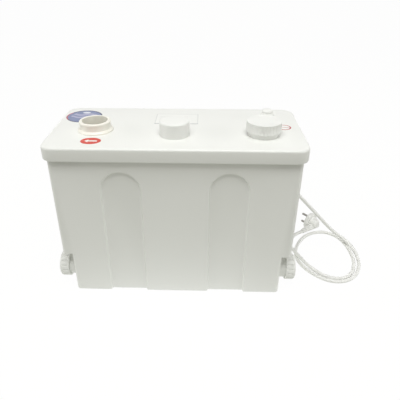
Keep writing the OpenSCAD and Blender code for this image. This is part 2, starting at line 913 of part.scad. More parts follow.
module terminal_box_lid() color("gray") {
    translate([box_corner[0], box_corner[1], box_corner[2] + box_z]) cube([box_x, box_y, box_lid_t]);
}

// Moves a part to the level switch's axis
module on_tube(z) { translate([tube_x, tube_y, z]) children(); }

module air_tube() color("gainsboro") {
    on_tube(floor_t) difference() {
        ring(tube_r, tube_r - tube_wall, tube_h);
        for (a = [0, 90]) rotate([0, 0, a])
            translate([-tube_r - past, -tube_slot_w / 2, -past])
                cube([2 * tube_r + 2 * past, tube_slot_w, tube_slot_h + past]);
    }
}

module switch_dish() color("gray") {
    on_tube(dish_z) difference() {
        cylinder(r = dish_r, h = dish_h);
        translate([0, 0, dish_floor]) cylinder(r = dish_r - dish_lip, h = dish_h);
        translate([0, 0, -past]) cylinder(r = tube_r - tube_wall, h = dish_floor + 2 * past);
    }
}

module switch_diaphragm() color("black") { on_tube(diaphragm_z) cylinder(r = dish_r, h = diaphragm_t); }

module switch_cover() color("gray") {
    on_tube(cover_z) difference() {
        cylinder(r = dish_r, h = cover_h);
        translate([0, 0, -past]) cylinder(r = dish_r - dish_lip, h = cover_h - cover_roof + past);
        cylinder(r = plunger_r + run_gap, h = cover_h + past);
    }
}

module switch_plunger() color("white") {
    on_tube(plunger_z) {
        cylinder(r = plunger_flange_r, h = plunger_flange_t);
        cylinder(r = plunger_r, h = plunger_top - plunger_z);
    }
}

module microswitch() color("black") {
    on_tube(micro_z) translate([-micro_w / 2, -micro_d / 2, 0]) cube([micro_w, micro_d, micro_h]);
    for (s = [-1, 1]) on_tube(cover_top)
        translate([s * (micro_w - micro_leg) / 2 - micro_leg / 2, -micro_d / 2, 0])
            cube([micro_leg, micro_d, micro_z - cover_top + weld]);
}

module motor_shaft() color("silver") {
    difference() {
        on_shaft(shaft_low) cylinder(r = shaft_r, h = shaft_top - shaft_low);
        on_shaft(shaft_top - slot_depth) translate([-shaft_r - past, -slot_w / 2, 0])
            cube([2 * shaft_r + 2 * past, slot_w, slot_depth + past]);
    }
}

module rotor_core() color("slategray") { on_shaft(core_z) ring(rotor_r, shaft_r, core_h); }

module impeller() color("black") {
    on_shaft(0) difference() {
        union() {
            translate([0, 0, impeller_top - disc_t]) cylinder(r = impeller_r, h = disc_t);
            translate([0, 0, vane_low]) cylinder(r = hub_r, h = impeller_top - vane_low);
            for (i = [0:vanes - 1]) rotate([0, 0, i * 360 / vanes])
                translate([0, hub_r - vane_t, vane_low]) rotate([0, 0, -vane_lean])
                    cube([impeller_r - hub_r + vane_t, vane_t, impeller_top - vane_low - disc_t + weld]);
        }
        translate([0, 0, vane_low - past]) cylinder(r = shaft_r, h = chamber_h + past);
    }
}

module cutter_blade() color("silver") {
    on_shaft(blade_z) difference() {
        union() {
            cylinder(r = hub_r, h = blade_hub_h);
            for (a = [0, 90]) rotate([0, 0, a])
                translate([-blade_reach, -blade_w / 2, a / 90 * blade_t])
                    cube([2 * blade_reach, blade_w, blade_t]);
        }
        translate([0, 0, -past]) cylinder(r = shaft_r, h = blade_hub_h + 2 * past);
    }
}

module blade_nut() color("gold") {
    on_shaft(blade_z + blade_hub_h) difference() {
        cylinder(r = blade_nut_r, h = blade_nut_h, $fn = 6);
        translate([0, 0, -past]) cylinder(r = shaft_r, h = blade_nut_h + 2 * past);
    }
}

// Outline of the lid, drawn in by an inset, as a thin slab
module lid_slab(inset, z, t) {
    translate([0, 0, z]) block(lid_w - 2 * inset, lid_d - 2 * inset, lid_r - inset / 2, t);
}

module lid() color("white") {
    thin = 0.1;
    edge_steps = 3;
    difference() {
        union() {
            difference() {
                hull() {
                    lid_slab(0, top_z - skirt_h, skirt_h - lid_edge);
                    for (i = [1:edge_steps]) let (a = 90 * i / edge_steps)
                        lid_slab(lid_edge * (1 - cos(a)), top_z - lid_edge * (1 - sin(a)) - thin, thin);
                }
                translate([0, 0, top_z - skirt_h - past]) block(lid_w - 2 * skirt_t, lid_d - 2 * skirt_t,
                    lid_r - skirt_t / 2, skirt_h - lid_t + past);
            }
            translate([top_inlet_x, top_inlet_y, top_z - weld]) {
                cylinder(r = top_neck_r, h = top_neck_h + weld);
                cylinder(r = top_collar_r, h = top_collar_h + weld);
            }
        }
        translate([top_inlet_x, top_inlet_y, lid_z - past])
            cylinder(r = top_bore, h = lid_t + top_neck_h + 2 * past);
        translate([outlet_x, outlet_y, lid_z - past]) cylinder(r = outlet_r, h = lid_t + 2 * past);
        on_service(lid_z - past) cylinder(r = service_hole, h = lid_t + 2 * past);
        translate([breather_x, breather_y, lid_z - past]) cylinder(r = breather_hole, h = lid_t + 2 * past);
    }
}

// Moves a part to the outlet's axis
module on_outlet(z) { translate([outlet_x, outlet_y, z]) children(); }

module outlet_spigot() color("ivory") {
    chamfer = 1;
    rim_edge = 2;
    bead_z = outlet_h - outlet_bead;
    bead_r = outlet_r + bead_out;
    waist_r = outlet_r + waist_out;
    flange_z = outlet_flange_t;
    body_low = seat_z - seat_t - top_z;
    profile = [
        [outlet_bore, seat_z - top_z], [outlet_bore, outlet_h - outlet_socket],
        [socket_in, outlet_h - outlet_socket], [socket_in, outlet_h - chamfer],
        [socket_in + chamfer, outlet_h], [bead_r - rim_edge, outlet_h],
        [bead_r - rim_edge / 4, outlet_h - rim_edge / 3], [bead_r, outlet_h - rim_edge],
        [bead_r, bead_z + bead_out - waist_out], [waist_r, bead_z], [waist_r, flange_z],
        [outlet_flange, flange_z / 2], [outlet_flange, 0],
        [outlet_r, 0], [outlet_r, body_low], [tail_r, body_low], [tail_r, tail_z - top_z],
        [tail_bore, tail_z - top_z], [tail_bore, body_low], [seat_r, body_low], [seat_r, seat_z - top_z]
    ];
    difference() {
        on_outlet(top_z) rotate_extrude() polygon(profile);
        translate([outlet_x - flap_pin_half, flap_axis_y, flap_axis_z])
            rotate([0, 90, 0]) cylinder(r = flap_pin_r, h = 2 * flap_pin_half);
    }
}

module spigot_nut() color("ivory") { on_outlet(lid_z - nut_h) ring(nut_r, outlet_r, nut_h); }

module spigot_seal() color("black") {
    on_outlet(socket_top - seal_h - seal_set) ring(seal_r, tail_r, seal_h);
}

module flap_pin() color("silver") {
    translate([outlet_x - flap_pin_half, flap_axis_y, flap_axis_z])
        rotate([0, 90, 0]) cylinder(r = flap_pin_r, h = 2 * flap_pin_half);
}

module valve_flap() color("black") {
    translate([outlet_x, flap_axis_y, flap_axis_z]) difference() {
        union() {
            translate([0, outlet_y - flap_back - flap_axis_y, seat_z + seat_gap - flap_axis_z])
                cylinder(r = flap_r, h = flap_t);
            translate([-flap_lug_w / 2, 0, 0]) rotate([0, 90, 0]) cylinder(r = flap_lug_r, h = flap_lug_w);
            translate([-flap_lug_w / 2, -flap_r / 2, seat_z + seat_gap - flap_axis_z])
                cube([flap_lug_w, flap_r / 2, flap_t]);
        }
        translate([-flap_lug_w, 0, 0]) rotate([0, 90, 0])
            cylinder(r = flap_pin_r + run_gap, h = 2 * flap_lug_w);
    }
}

module breather_base() color("white") {
    edge = 1.5;
    profile = [
        [breather_stem, -lid_t], [breather_hole, -lid_t], [breather_hole, 0], [breather_foot, 0],
        [breather_foot, edge], [breather_neck, breather_h - breather_cap_t],
        [breather_stem, breather_h - breather_cap_t]
    ];
    translate([breather_x, breather_y, top_z]) rotate_extrude() polygon(profile);
}

module breather_cap() color("white") {
    drop = 6;
    low_edge = 1;
    top_edge = 3;
    profile = [
        [0, -drop], [breather_stem, -drop], [breather_stem, 0], [breather_r - low_edge, 0],
        [breather_r, low_edge], [breather_r, breather_cap_t - top_edge],
        [breather_r - top_edge / 4, breather_cap_t - top_edge / 3],
        [breather_r - top_edge, breather_cap_t], [0, breather_cap_t]
    ];
    translate([breather_x, breather_y, top_z + breather_h - breather_cap_t])
        rotate_extrude() polygon(profile);
}

module carbon_filter() color("black") {
    translate([breather_x, breather_y, lid_z - filter_h]) cylinder(r = filter_r, h = filter_h);
}

// Moves a part to the service cap's axis
module on_service(z) { translate([service_x, shaft_y, z]) children(); }

module service_cap() color("white") {
    groove_r = service_hole - slip_gap - service_seal_t;
    rim = service_hole - slip_gap;
    edge = 3;
    seal_top = -service_seal_drop;
    profile = [
        [0, service_h], [service_r - edge, service_h], [service_r - edge / 4, service_h - edge / 3],
        [service_r, service_h - edge], [service_r, seat_gap], [rim, seat_gap], [rim, seal_top],
        [groove_r, seal_top], [groove_r, seal_top - service_seal_h], [rim, seal_top - service_seal_h],
        [rim, -plug_drop], [groove_r - service_wall, -plug_drop],
        [groove_r - service_wall, service_h - service_wall], [0, service_h - service_wall]
    ];
    on_service(top_z) rotate_extrude() polygon(profile);
}

module service_cap_seal() color("black") {
    on_service(top_z - service_seal_drop - service_seal_h)
        ring(service_hole - slip_gap, service_hole - slip_gap - service_seal_t, service_seal_h);
}

// A screw cap with grip grooves, open below, built along +Z
module grip_cap(r, bore, length, grooves, groove_r) {
    profile = [
        [0, length], [r - cap_chamfer, length], [r - cap_chamfer / 4, length - cap_chamfer / 3],
        [r, length - cap_chamfer], [r, 0], [bore, 0], [bore, length - cap_roof], [0, length - cap_roof]
    ];
    difference() {
        rotate_extrude() polygon(profile);
        for (i = [0:grooves - 1]) rotate([0, 0, (i + 0.5) * 360 / grooves])
            translate([r + groove_r / 2, 0, cap_chamfer / 2])
                cylinder(r = groove_r, h = length - 2 * cap_chamfer, $fn = 12);
    }
}

module top_inlet_cap() color("white") {
    translate([top_inlet_x, top_inlet_y, top_z + top_collar_h])
        grip_cap(top_cap_r, top_cap_bore, top_cap_len, top_grooves, top_groove_r);
}

module top_inlet_washer() color("black") {
    translate([top_inlet_x, top_inlet_y, top_z + top_neck_h + seat_gap])
        ring(top_neck_r, top_bore, washer_t);
}

module side_cap(side) {
    on_side_inlet(side, side_cap_from)
        grip_cap(side_cap_r, side_cap_bore, side_cap_len, side_grooves, side_groove_r);
}

module side_washer(side) {
    on_side_inlet(side, side_neck + seat_gap) ring(side_neck_r, side_bore, washer_t);
}

module left_inlet_cap() color("white") side_cap(-1);

module right_inlet_cap() color("white") side_cap(1);

module left_inlet_washer() color("black") side_washer(-1);

module right_inlet_washer() color("black") side_washer(1);

tank();
lid_gasket();
wc_sleeve();
wc_clamp();
cable_gland();
strain_relief();
mains_lead();
plug_body();
plug_pins();
motor_plate();
plate_screws();
motor_can();
motor_cap();
stator_core();
stator_windings();
lower_bearing();
upper_bearing();
shaft_seal();
volute();
suction_plate();
casing_screws();
grinder_basket();
discharge_hose();
hose_clips();
discharge_pipe();
capacitor();
capacitor_clip();
terminal_box();
terminal_box_lid();
air_tube();
switch_dish();
switch_diaphragm();
switch_cover();
microswitch();
switch_plunger();
motor_shaft();
rotor_core();
impeller();
cutter_blade();
blade_nut();
lid();
outlet_spigot();
spigot_nut();
spigot_seal();
flap_pin();
valve_flap();
breather_base();
breather_cap();
carbon_filter();
service_cap();
service_cap_seal();
top_inlet_cap();
top_inlet_washer();
left_inlet_cap();
left_inlet_washer();
right_inlet_cap();
right_inlet_washer();
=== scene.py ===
import json
import math

import bmesh
import bpy
from mathutils import Matrix, Vector


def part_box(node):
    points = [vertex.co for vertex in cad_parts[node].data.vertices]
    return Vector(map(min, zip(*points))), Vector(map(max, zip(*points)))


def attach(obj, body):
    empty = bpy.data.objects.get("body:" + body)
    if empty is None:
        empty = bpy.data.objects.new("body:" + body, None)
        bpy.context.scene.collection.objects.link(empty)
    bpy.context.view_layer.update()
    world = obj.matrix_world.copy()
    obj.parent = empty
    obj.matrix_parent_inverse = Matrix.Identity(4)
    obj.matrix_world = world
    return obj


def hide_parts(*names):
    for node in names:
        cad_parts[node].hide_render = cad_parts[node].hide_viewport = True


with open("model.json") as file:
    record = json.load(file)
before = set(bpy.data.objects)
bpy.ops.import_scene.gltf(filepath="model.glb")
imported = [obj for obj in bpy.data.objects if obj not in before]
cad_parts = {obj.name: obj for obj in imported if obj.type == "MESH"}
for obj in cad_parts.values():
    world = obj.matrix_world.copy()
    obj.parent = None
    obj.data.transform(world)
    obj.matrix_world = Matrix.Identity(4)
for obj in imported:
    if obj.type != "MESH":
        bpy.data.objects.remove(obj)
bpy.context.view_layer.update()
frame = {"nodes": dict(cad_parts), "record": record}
nodes = frame["nodes"]
mm = 0.001
print("frame loaded:", len(nodes), "nodes")


def linkObject(name, data):
    made = bpy.data.objects.new(name, data)
    bpy.context.scene.collection.objects.link(made)
    return made


# the photograph's camera, in millimetres and degrees
cameraView = {
    "place": (46.2, -719.1, 559.5),
    "down": 29.99,
    "left": 1.64,
    "lens": 39.0,
    "sensor": 36.0,
    "shift": 0.02,
}


def makeCamera(view):
    data = bpy.data.cameras.new("photoCamera")
    data.lens = view["lens"]
    data.sensor_width = view["sensor"]
    data.shift_x = view["shift"]
    camera = linkObject("photoCamera", data)
    camera.location = Vector(view["place"]) * mm
    camera.rotation_euler = (math.radians(90 - view["down"]), 0, math.radians(view["left"]))
    bpy.context.scene.camera = camera


makeCamera(cameraView)
print("camera set")


# a value in a shader, so that sums can be written as sums
class Wire:
    def __init__(self, finish, made, output):
        self.finish = finish
        self.made = made
        self.output = output

    def pick(self, output):
        return Wire(self.finish, self.made, output)

    def sum(self, operation, *values):
        return self.finish.node("ShaderNodeMath", {"operation": operation}, dict(enumerate(values)))

    def most(self, other):
        return self.sum("MAXIMUM", self, other)

    def __add__(self, other):
        return self.sum("ADD", self, other)

    def __radd__(self, other):
        return self.sum("ADD", other, self)

    def __sub__(self, other):
        return self.sum("SUBTRACT", self, other)

    def __rsub__(self, other):
        return self.sum("SUBTRACT", other, self)

    def __mul__(self, other):
        return self.sum("MULTIPLY", self, other)

    def __rmul__(self, other):
        return self.sum("MULTIPLY", other, self)

    def __truediv__(self, other):
        return self.sum("DIVIDE", self, other)

    def __pow__(self, other):
        return self.sum("POWER", self, other)

    def __lt__(self, other):
        return self.sum("LESS_THAN", self, other)

    def __gt__(self, other):
        return self.sum("GREATER_THAN", self, other)

    def __abs__(self):
        return self.sum("ABSOLUTE", self)


# one material or world, and the way that its nodes are added
class Finish:
    def __init__(self, owner):
        owner.use_nodes = True
        self.owner = owner
        self.tree = owner.node_tree
        self.tree.nodes.clear()

    def node(self, kind, settings=None, sockets=None, output=0):
        made = self.tree.nodes.new(kind)
        for key, value in (settings or {}).items():
            setattr(made, key, value)
        for key, value in (sockets or {}).items():
            if isinstance(value, Wire):
                self.tree.links.new(value.made.outputs[value.output], made.inputs[key])
            else:
                made.inputs[key].default_value = value
        return Wire(self, made, output)

    def spot(self):
        return self.node("ShaderNodeTexCoord", output="Object")

    def spotParts(self):
        return self.node("ShaderNodeSeparateXYZ", {}, {"Vector": self.spot()})

    def noise(self, place, scale, detail, rough=0.5):
        sockets = {"Vector": place, "Scale": scale, "Detail": detail, "Roughness": rough}
        return self.node("ShaderNodeTexNoise", {}, sockets)

    def blend(self, share, first, second):
        return self.node("ShaderNodeMix", {"data_type": "RGBA"}, {0: share, 6: first, 7: second}, 2)

    def mixed(self, share, first, second):
        return self.node("ShaderNodeMixShader", {}, {0: share, 1: first, 2: second})

    def ramped(self, value, low, high):
        return self.node("ShaderNodeMapRange", {}, {"Value": value, "To Min": low, "To Max": high})

    def bump(self, height, strength, depth):
        sockets = {"Height": height, "Strength": strength, "Distance": depth}
        return self.node("ShaderNodeBump", {}, sockets)

    def close(self, sockets):
        shader = self.node("ShaderNodeBsdfPrincipled", {}, sockets)
        self.node("ShaderNodeOutputMaterial", {}, {"Surface": shader})
        return self.owner


def newFinish(name):
    return Finish(bpy.data.materials.new(name))


def opaque(colour):
    return (*colour, 1.0)


def shaded(colour, share):
    return opaque([part * share for part in colour])


# moulded plastic: slow drift of shade, satin patches and a fine spark-eroded grain
mouldedLook = {
    "driftScale": 9.0, "driftDetail": 3.0, "drift": 0.965,
    "patchScale": 60.0, "patchDetail": 4.0, "patchSwell": 0.4,
    "grainScale": 1500.0, "grainDetail": 2.0, "grainRough": 0.6, "grainSwell": 0.6,
    "glossier": 0.05, "duller": 0.07, "bump": 0.1, "bumpDepth": 0.00025, "shine": 0.45,
}


def mouldedFinish(name, changes):
    look = {**mouldedLook, **changes}
    finish = newFinish(name)
    place = finish.spot()
    drift = finish.noise(place, look["driftScale"], look["driftDetail"])
    patches = finish.noise(place, look["patchScale"], look["patchDetail"])
    grain = finish.noise(place, look["grainScale"], look["grainDetail"], look["grainRough"])
    colour = finish.blend(drift, opaque(look["colour"]), shaded(look["colour"], look["drift"]))
    gloss = finish.ramped(patches, look["rough"] - look["glossier"], look["rough"] + look["duller"])
    swell = grain * look["grainSwell"] + patches * look["patchSwell"]
    normal = finish.bump(swell, look["bump"], look["bumpDepth"])
    return finish.close({"Base Color": colour, "Roughness": gloss, "Normal": normal,
                         "Specular IOR Level": look["shine"]})


# rubber: dull, with a bloom of pale dust in patches
rubberLook = {
    "dustScale": 45.0, "dustDetail": 5.0, "dustRough": 0.65, "dustShare": 0.5,
    "grainScale": 900.0, "grainDetail": 3.0, "grainRough": 0.6,
    "gloss": (0.55, 0.82), "bump": 0.25, "bumpDepth": 0.0003, "shine": 0.3,
}


def rubberFinish(name, changes):
    look = {**rubberLook, **changes}
    finish = newFinish(name)
    place = finish.spot()
    dust = finish.noise(place, look["dustScale"], look["dustDetail"], look["dustRough"])
    grain = finish.noise(place, look["grainScale"], look["grainDetail"], look["grainRough"])
    colour = finish.blend(dust * look["dustShare"], opaque(look["colour"]), opaque(look["bloom"]))
    normal = finish.bump(grain, look["bump"], look["bumpDepth"])
    return finish.close({"Base Color": colour, "Roughness": finish.ramped(dust, *look["gloss"]),
                         "Normal": normal, "Specular IOR Level": look["shine"]})


# metal: fine brush lines along one axis, and faint blotches
metalLook = {
    "lineScale": 40.0, "lineDetail": 4.0, "lineRough": 0.7, "lineShare": 0.4,
    "blotchScale": 30.0, "blotchDetail": 4.0, "blotchShare": 0.6, "dark": 0.78,
    "glossier": 0.08, "duller": 0.12, "bump": 0.12, "bumpDepth": 0.0002, "metal": 1.0,
}


def metalFinish(name, changes):
    look = {**metalLook, **changes}
    finish = newFinish(name)
    place = finish.spot()
    stretched = finish.node("ShaderNodeMapping", {}, {"Vector": place, "Scale": look["stretch"]})
    lines = finish.noise(stretched, look["lineScale"], look["lineDetail"], look["lineRough"])
    blotch = finish.noise(place, look["blotchScale"], look["blotchDetail"])
    darker = blotch * look["blotchShare"] + lines * look["lineShare"]
    colour = finish.blend(darker, opaque(look["colour"]), shaded(look["colour"], look["dark"]))
    gloss = finish.ramped(lines, look["rough"] - look["glossier"], look["rough"] + look["duller"])
    normal = finish.bump(lines, look["bump"], look["bumpDepth"])
    return finish.close({"Base Color": colour, "Roughness": gloss, "Normal": normal,
                         "Metallic": look["metal"]})


# stacked sheets of core steel: thin dark lines between the sheets, and spots of rust
stackedLook = {
    "colour": (0.3, 0.3, 0.31), "sheets": 320.0, "waver": 0.4, "waverDetail": 1.0, "gapShade": 0.55,
    "rust": (0.16, 0.075, 0.035), "rustScale": 80.0, "rustDetail": 5.0, "rustRough": 0.65,
    "rustFrom": 0.62, "rustShare": 0.5,
    "gloss": (0.4, 0.65), "bump": 0.3, "bumpDepth": 0.0003, "metal": 0.85,
}


def stackedFinish(name, look):
    finish = newFinish(name)
    place = finish.spot()
    bands = finish.node("ShaderNodeTexWave", {"wave_type": "BANDS", "bands_direction": "Z"},
                        {"Vector": place, "Scale": look["sheets"], "Distortion": look["waver"],
                         "Detail": look["waverDetail"]})
    rust = finish.noise(place, look["rustScale"], look["rustDetail"], look["rustRough"])
    base = finish.blend(bands, shaded(look["colour"], look["gapShade"]), opaque(look["colour"]))
    colour = finish.blend((rust > look["rustFrom"]) * look["rustShare"], base, opaque(look["rust"]))
    normal = finish.bump(bands, look["bump"], look["bumpDepth"])
    return finish.close({"Base Color": colour, "Roughness": finish.ramped(rust, *look["gloss"]),
                         "Normal": normal, "Metallic": look["metal"]})


# wound wire: closely laid rounds of lacquered copper
woundLook = {
    "colour": (0.62, 0.25, 0.09), "rounds": 240.0, "waver": 1.5, "waverDetail": 2.0, "gapShade": 0.45,
    "gloss": (0.5, 0.28), "bump": 0.5, "bumpDepth": 0.0006, "metal": 0.7,
}


def woundFinish(name, look):
    finish = newFinish(name)
    rounds = finish.node("ShaderNodeTexWave", {"wave_type": "RINGS", "rings_direction": "Z"},
                         {"Vector": finish.spot(), "Scale": look["rounds"], "Distortion": look["waver"],
                          "Detail": look["waverDetail"]})
    colour = finish.blend(rounds, shaded(look["colour"], look["gapShade"]), opaque(look["colour"]))
    normal = finish.bump(rounds, look["bump"], look["bumpDepth"])
    return finish.close({"Base Color": colour, "Roughness": finish.ramped(rounds, *look["gloss"]),
                         "Normal": normal, "Metallic": look["metal"]})


# carbon foam: open black cells
foamLook = {"colour": (0.03, 0.03, 0.032), "cells": 420.0, "deepShade": 0.3, "rough": 0.9, "bump": 0.7,
            "bumpDepth": 0.001}


def foamFinish(name, look):
    finish = newFinish(name)
    cells = finish.node("ShaderNodeTexVoronoi", {}, {"Vector": finish.spot(), "Scale": look["cells"]})
    colour = finish.blend(cells, shaded(look["colour"], look["deepShade"]), opaque(look["colour"]))
    normal = finish.bump(cells, look["bump"], look["bumpDepth"])
    return finish.close({"Base Color": colour, "Roughness": look["rough"], "Normal": normal})


whiteShade = (0.83, 0.838, 0.805)
brushed = {"x": (0.04, 1.0, 1.0), "z": (1.0, 1.0, 0.04), "round": (0.2, 0.2, 1.0), "none": (1.0, 1.0, 1.0)}
finishes = {
    "white_plastic": mouldedFinish("mouldedWhite", {"colour": whiteShade, "rough": 0.36}),
    "cream_plastic": mouldedFinish("mouldedCream", {"colour": (0.88, 0.862, 0.78), "rough": 0.34}),
    "pale_grey_plastic": mouldedFinish("paleGreyMoulded", {"colour": (0.66, 0.67, 0.66), "rough": 0.45}),
    "grey_plastic": mouldedFinish("greyMoulded", {
        "colour": (0.2, 0.205, 0.21), "rough": 0.5, "bump": 0.2}),
    "black_plastic": mouldedFinish("glassFilledBlack", {
        "colour": (0.022, 0.022, 0.024), "rough": 0.5, "bump": 0.3, "drift": 0.6}),
    "lead_sheath": mouldedFinish("softSheath", {
        "colour": (0.86, 0.862, 0.835), "rough": 0.42, "grainScale": 700.0, "bump": 0.02,
        "driftScale": 18.0}),
    "grey_rubber": rubberFinish("greySleeveRubber", {
        "colour": (0.07, 0.07, 0.074), "bloom": (0.16, 0.16, 0.155)}),
    "black_rubber": rubberFinish("blackSealRubber", {
        "colour": (0.018, 0.018, 0.018), "bloom": (0.07, 0.07, 0.068)}),
    "steel": metalFinish("brushedStainless", {
        "colour": (0.62, 0.63, 0.64), "rough": 0.3, "stretch": brushed["z"]}),
    "nickel_pin": metalFinish("nickelPins", {
        "colour": (0.34, 0.325, 0.30), "rough": 0.3, "stretch": brushed["x"]}),
    "motor_enamel": metalFinish("motorEnamel", {
        "colour": (0.12, 0.14, 0.155), "rough": 0.38, "metal": 0.0, "stretch": brushed["none"],
        "lineScale": 350.0, "bump": 0.2}),
    "core_steel": stackedFinish("coreSheets", stackedLook),
    "copper_winding": woundFinish("lacqueredCopper", woundLook),
    "capacitor_case": metalFinish("drawnAluminium", {
        "colour": (0.72, 0.73, 0.75), "rough": 0.32, "stretch": brushed["z"]}),
    "brass": metalFinish("turnedBrass", {
        "colour": (0.72, 0.52, 0.2), "rough": 0.28, "stretch": brushed["round"]}),
    "carbon": foamFinish("carbonFoam", foamLook),
}
print("finishes made:", len(finishes))


# shared by all meshes: angles that stay sharp, in degrees, and small sizes, in millimetres
meshing = {"smooth": 32, "solidSmooth": 30, "roundSegments": 4, "weld": 1e-4, "tiny": 0.01}


# a finished bmesh, drawn in millimetres, becomes a piece on its body
def addPiece(name, bm, body, slot, finish=None, smooth=meshing["smooth"]):
    bmesh.ops.scale(bm, vec=(mm, mm, mm), verts=bm.verts[:])
    mesh = bpy.data.meshes.new(name)
    bm.to_mesh(mesh)
    bm.free()
    piece = linkObject(name, mesh)
    mesh.materials.append(finish or finishes[slot])
    smoothShade(piece, smooth)
    if body:
        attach(piece, body)
    return piece


def smoothShade(piece, angle):
    for face in piece.data.polygons:
        face.use_smooth = True
    piece.data.set_sharp_from_angle(angle=math.radians(angle))


def ease(bm, geom, size, segments, affect="EDGES", clamp=False):
    bmesh.ops.bevel(bm, geom=geom, offset=size, offset_type="OFFSET", affect=affect, segments=segments,
                    profile=0.5, material=-1, clamp_overlap=clamp)


# a profile of (radius, height, corner radius) points, turned about the upright axis
def turned(profile, steps=96, closed=False):
    bm = bmesh.new()
    corners = [(bm.verts.new((reach, 0, height)), soft[0] if soft else 0) for reach, height, *soft in profile]
    follow = corners[1:] + corners[:1] if closed else corners[1:]
    for here, there in zip(corners, follow):
        bm.edges.new((here[0], there[0]))
    for radius in sorted({size for corner, size in corners if size}):
        picked = [corner for corner, size in corners if size == radius]
        ease(bm, picked, radius, meshing["roundSegments"], "VERTICES", clamp=True)
    bmesh.ops.spin(bm, geom=bm.verts[:] + bm.edges[:], cent=(0, 0, 0), axis=(0, 0, 1), dvec=(0, 0, 0),
                   angle=2 * math.pi, steps=steps, use_merge=True, use_duplicate=False)
    bmesh.ops.remove_doubles(bm, verts=bm.verts[:], dist=meshing["weld"])
    bmesh.ops.recalc_face_normals(bm, faces=bm.faces[:])
    return bm


def block(size):
    bm = bmesh.new()
    bmesh.ops.create_cube(bm, size=1.0)
    bmesh.ops.scale(bm, vec=size, verts=bm.verts[:])
    return bm


def uprightEdges(bm):
    return [edge for edge in bm.edges if abs(edge.verts[0].co.z - edge.verts[1].co.z) > meshing["tiny"]]


def joined(parts):
    whole = bmesh.new()
    for part in parts:
        holder = bpy.data.meshes.new("partHolder")
        part.to_mesh(holder)
        part.free()
        whole.from_mesh(holder)
        bpy.data.meshes.remove(holder)
    return whole


def moveTo(bm, place, turn=None):
    matrix = Matrix.Translation(Vector(place)) @ (turn or Matrix.Identity(4))
    bmesh.ops.transform(bm, matrix=matrix, verts=bm.verts[:])
    return bm


def turnAbout(axis, degrees):
    return Matrix.Rotation(math.radians(degrees), 4, axis)


def boxOf(node):
    low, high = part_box(node)
    return low / mm, high / mm, (low + high) / (2 * mm)


# grip grooves pressed into the outer wall between two heights
def pressGrooves(bm, wall, look, low, high):
    for vert in bm.verts:
        reach = math.hypot(vert.co.x, vert.co.y)
        if reach > wall and low < vert.co.z < high:
            wave = math.cos(math.atan2(vert.co.y, vert.co.x) * look["grooves"])
            share = 1 - look["depth"] / reach * max(0.0, wave - look["narrow"]) / (1 - look["narrow"])
            vert.co.x *= share
            vert.co.y *= share


def cutHoles(piece, cutters):
    for cutter in cutters:
        change = piece.modifiers.new("cut", "BOOLEAN")
        change.operation = "DIFFERENCE"
        change.solver = "EXACT"
        change.object = cutter
    graph = bpy.context.evaluated_depsgraph_get()
    shaped = bpy.data.meshes.new_from_object(piece.evaluated_get(graph))
    plain = piece.data
    piece.modifiers.clear()
    piece.data = shaped
    bpy.data.meshes.remove(plain)
    for cutter in cutters:
        bpy.data.objects.remove(cutter)


# mains lead: points in metres, from the strain relief's end round its loops to the plug
lead = {
    "diameter": 0.007,
    "length": 0.977,
    "smooth": 6,
    "roundness": 4,
    "route": [
        (0.247, 0.057, 0.121), (0.27, 0.058, 0.0965), (0.294, 0.06, 0.0705), (0.318, 0.063, 0.0445),
        (0.337, 0.065, 0.027), (0.353, 0.06, 0.0173), (0.364, 0.046, 0.0109), (0.37, 0.028, 0.0057),
        (0.37, 0.008, 0.0035), (0.365, -0.014, 0.0035), (0.354, -0.037, 0.0035), (0.338, -0.054, 0.0035),
        (0.318, -0.063, 0.0035), (0.297, -0.062, 0.0035), (0.278, -0.052, 0.0035), (0.2615, -0.035, 0.0035),
        (0.2495, -0.015, 0.0035), (0.2435, 0.008, 0.0035), (0.246, 0.034, 0.0035), (0.257, 0.062, 0.0035),
        (0.276, 0.088, 0.0035), (0.299, 0.103, 0.0035), (0.322, 0.106, 0.0035), (0.341, 0.096, 0.0035),
        (0.353, 0.078, 0.0035), (0.359, 0.056, 0.0035), (0.361, 0.032, 0.0035), (0.36, 0.008, 0.0035),
        (0.354, -0.016, 0.0035), (0.345, -0.035, 0.0035), (0.329, -0.0505, 0.0035),
        (0.309, -0.0546, 0.0035), (0.289, -0.0496, 0.0051), (0.2715, -0.0366, 0.0079),
        (0.2565, -0.0175, 0.0105), (0.2458, 0.006, 0.0119), (0.2386, 0.03, 0.0099),
        (0.237, 0.054, 0.0061), (0.244, 0.073, 0.0078), (0.253, 0.084, 0.0109),
    ],
}
relief = {
    "start": (214.0, 57.0, 144.0), "bend": 28.0, "turn": 46.0, "big": 6.0, "small": 4.4,
    "ribs": 5, "rib": 0.5, "plainFrom": 0.98, "sides": 24, "steps": 60,
}
plug = {
    "place": (291.0, 131.0, 19.0), "turn": 131.0, "steps": 72,
    "face": 19.0, "faceDepth": 9.0, "faceRound": 1.2, "faceBackRound": 2.5,
    "back": 13.0, "backDepth": 15.0, "backTaper": 3, "backRound": 4.0, "overlap": 0.5,
    "exitSet": 14.0, "neck": 40.0, "neckBack": 12.0, "neckDrop": 6.0, "neckBig": 10.0, "neckSmall": 4.7,
    "neckRound": 4.0, "neckTip": 0.6, "neckSteps": 48, "ribs": 5, "ribFrom": 0.5, "ribSpan": 0.46,
    "ribDents": ((0.2, 0.0), (0.45, 0.7), (0.75, 0.7), (1.0, 0.0)),
    "pin": 2.4, "pinOut": 19.0, "pinIn": 5.0, "pinPitch": 19.0, "pinTip": 1.6, "pinSteps": 32,
}


def reliefEnd():
    angle = math.radians(relief["turn"])
    x, y, z = relief["start"]
    out, down = relief["bend"] * math.sin(angle), relief["bend"] * (1 - math.cos(angle))
    return Vector((x + out, y, z - down)) * mm


def plugMatrix():
    return Matrix.Translation(Vector(plug["place"])) @ turnAbout("Z", plug["turn"])


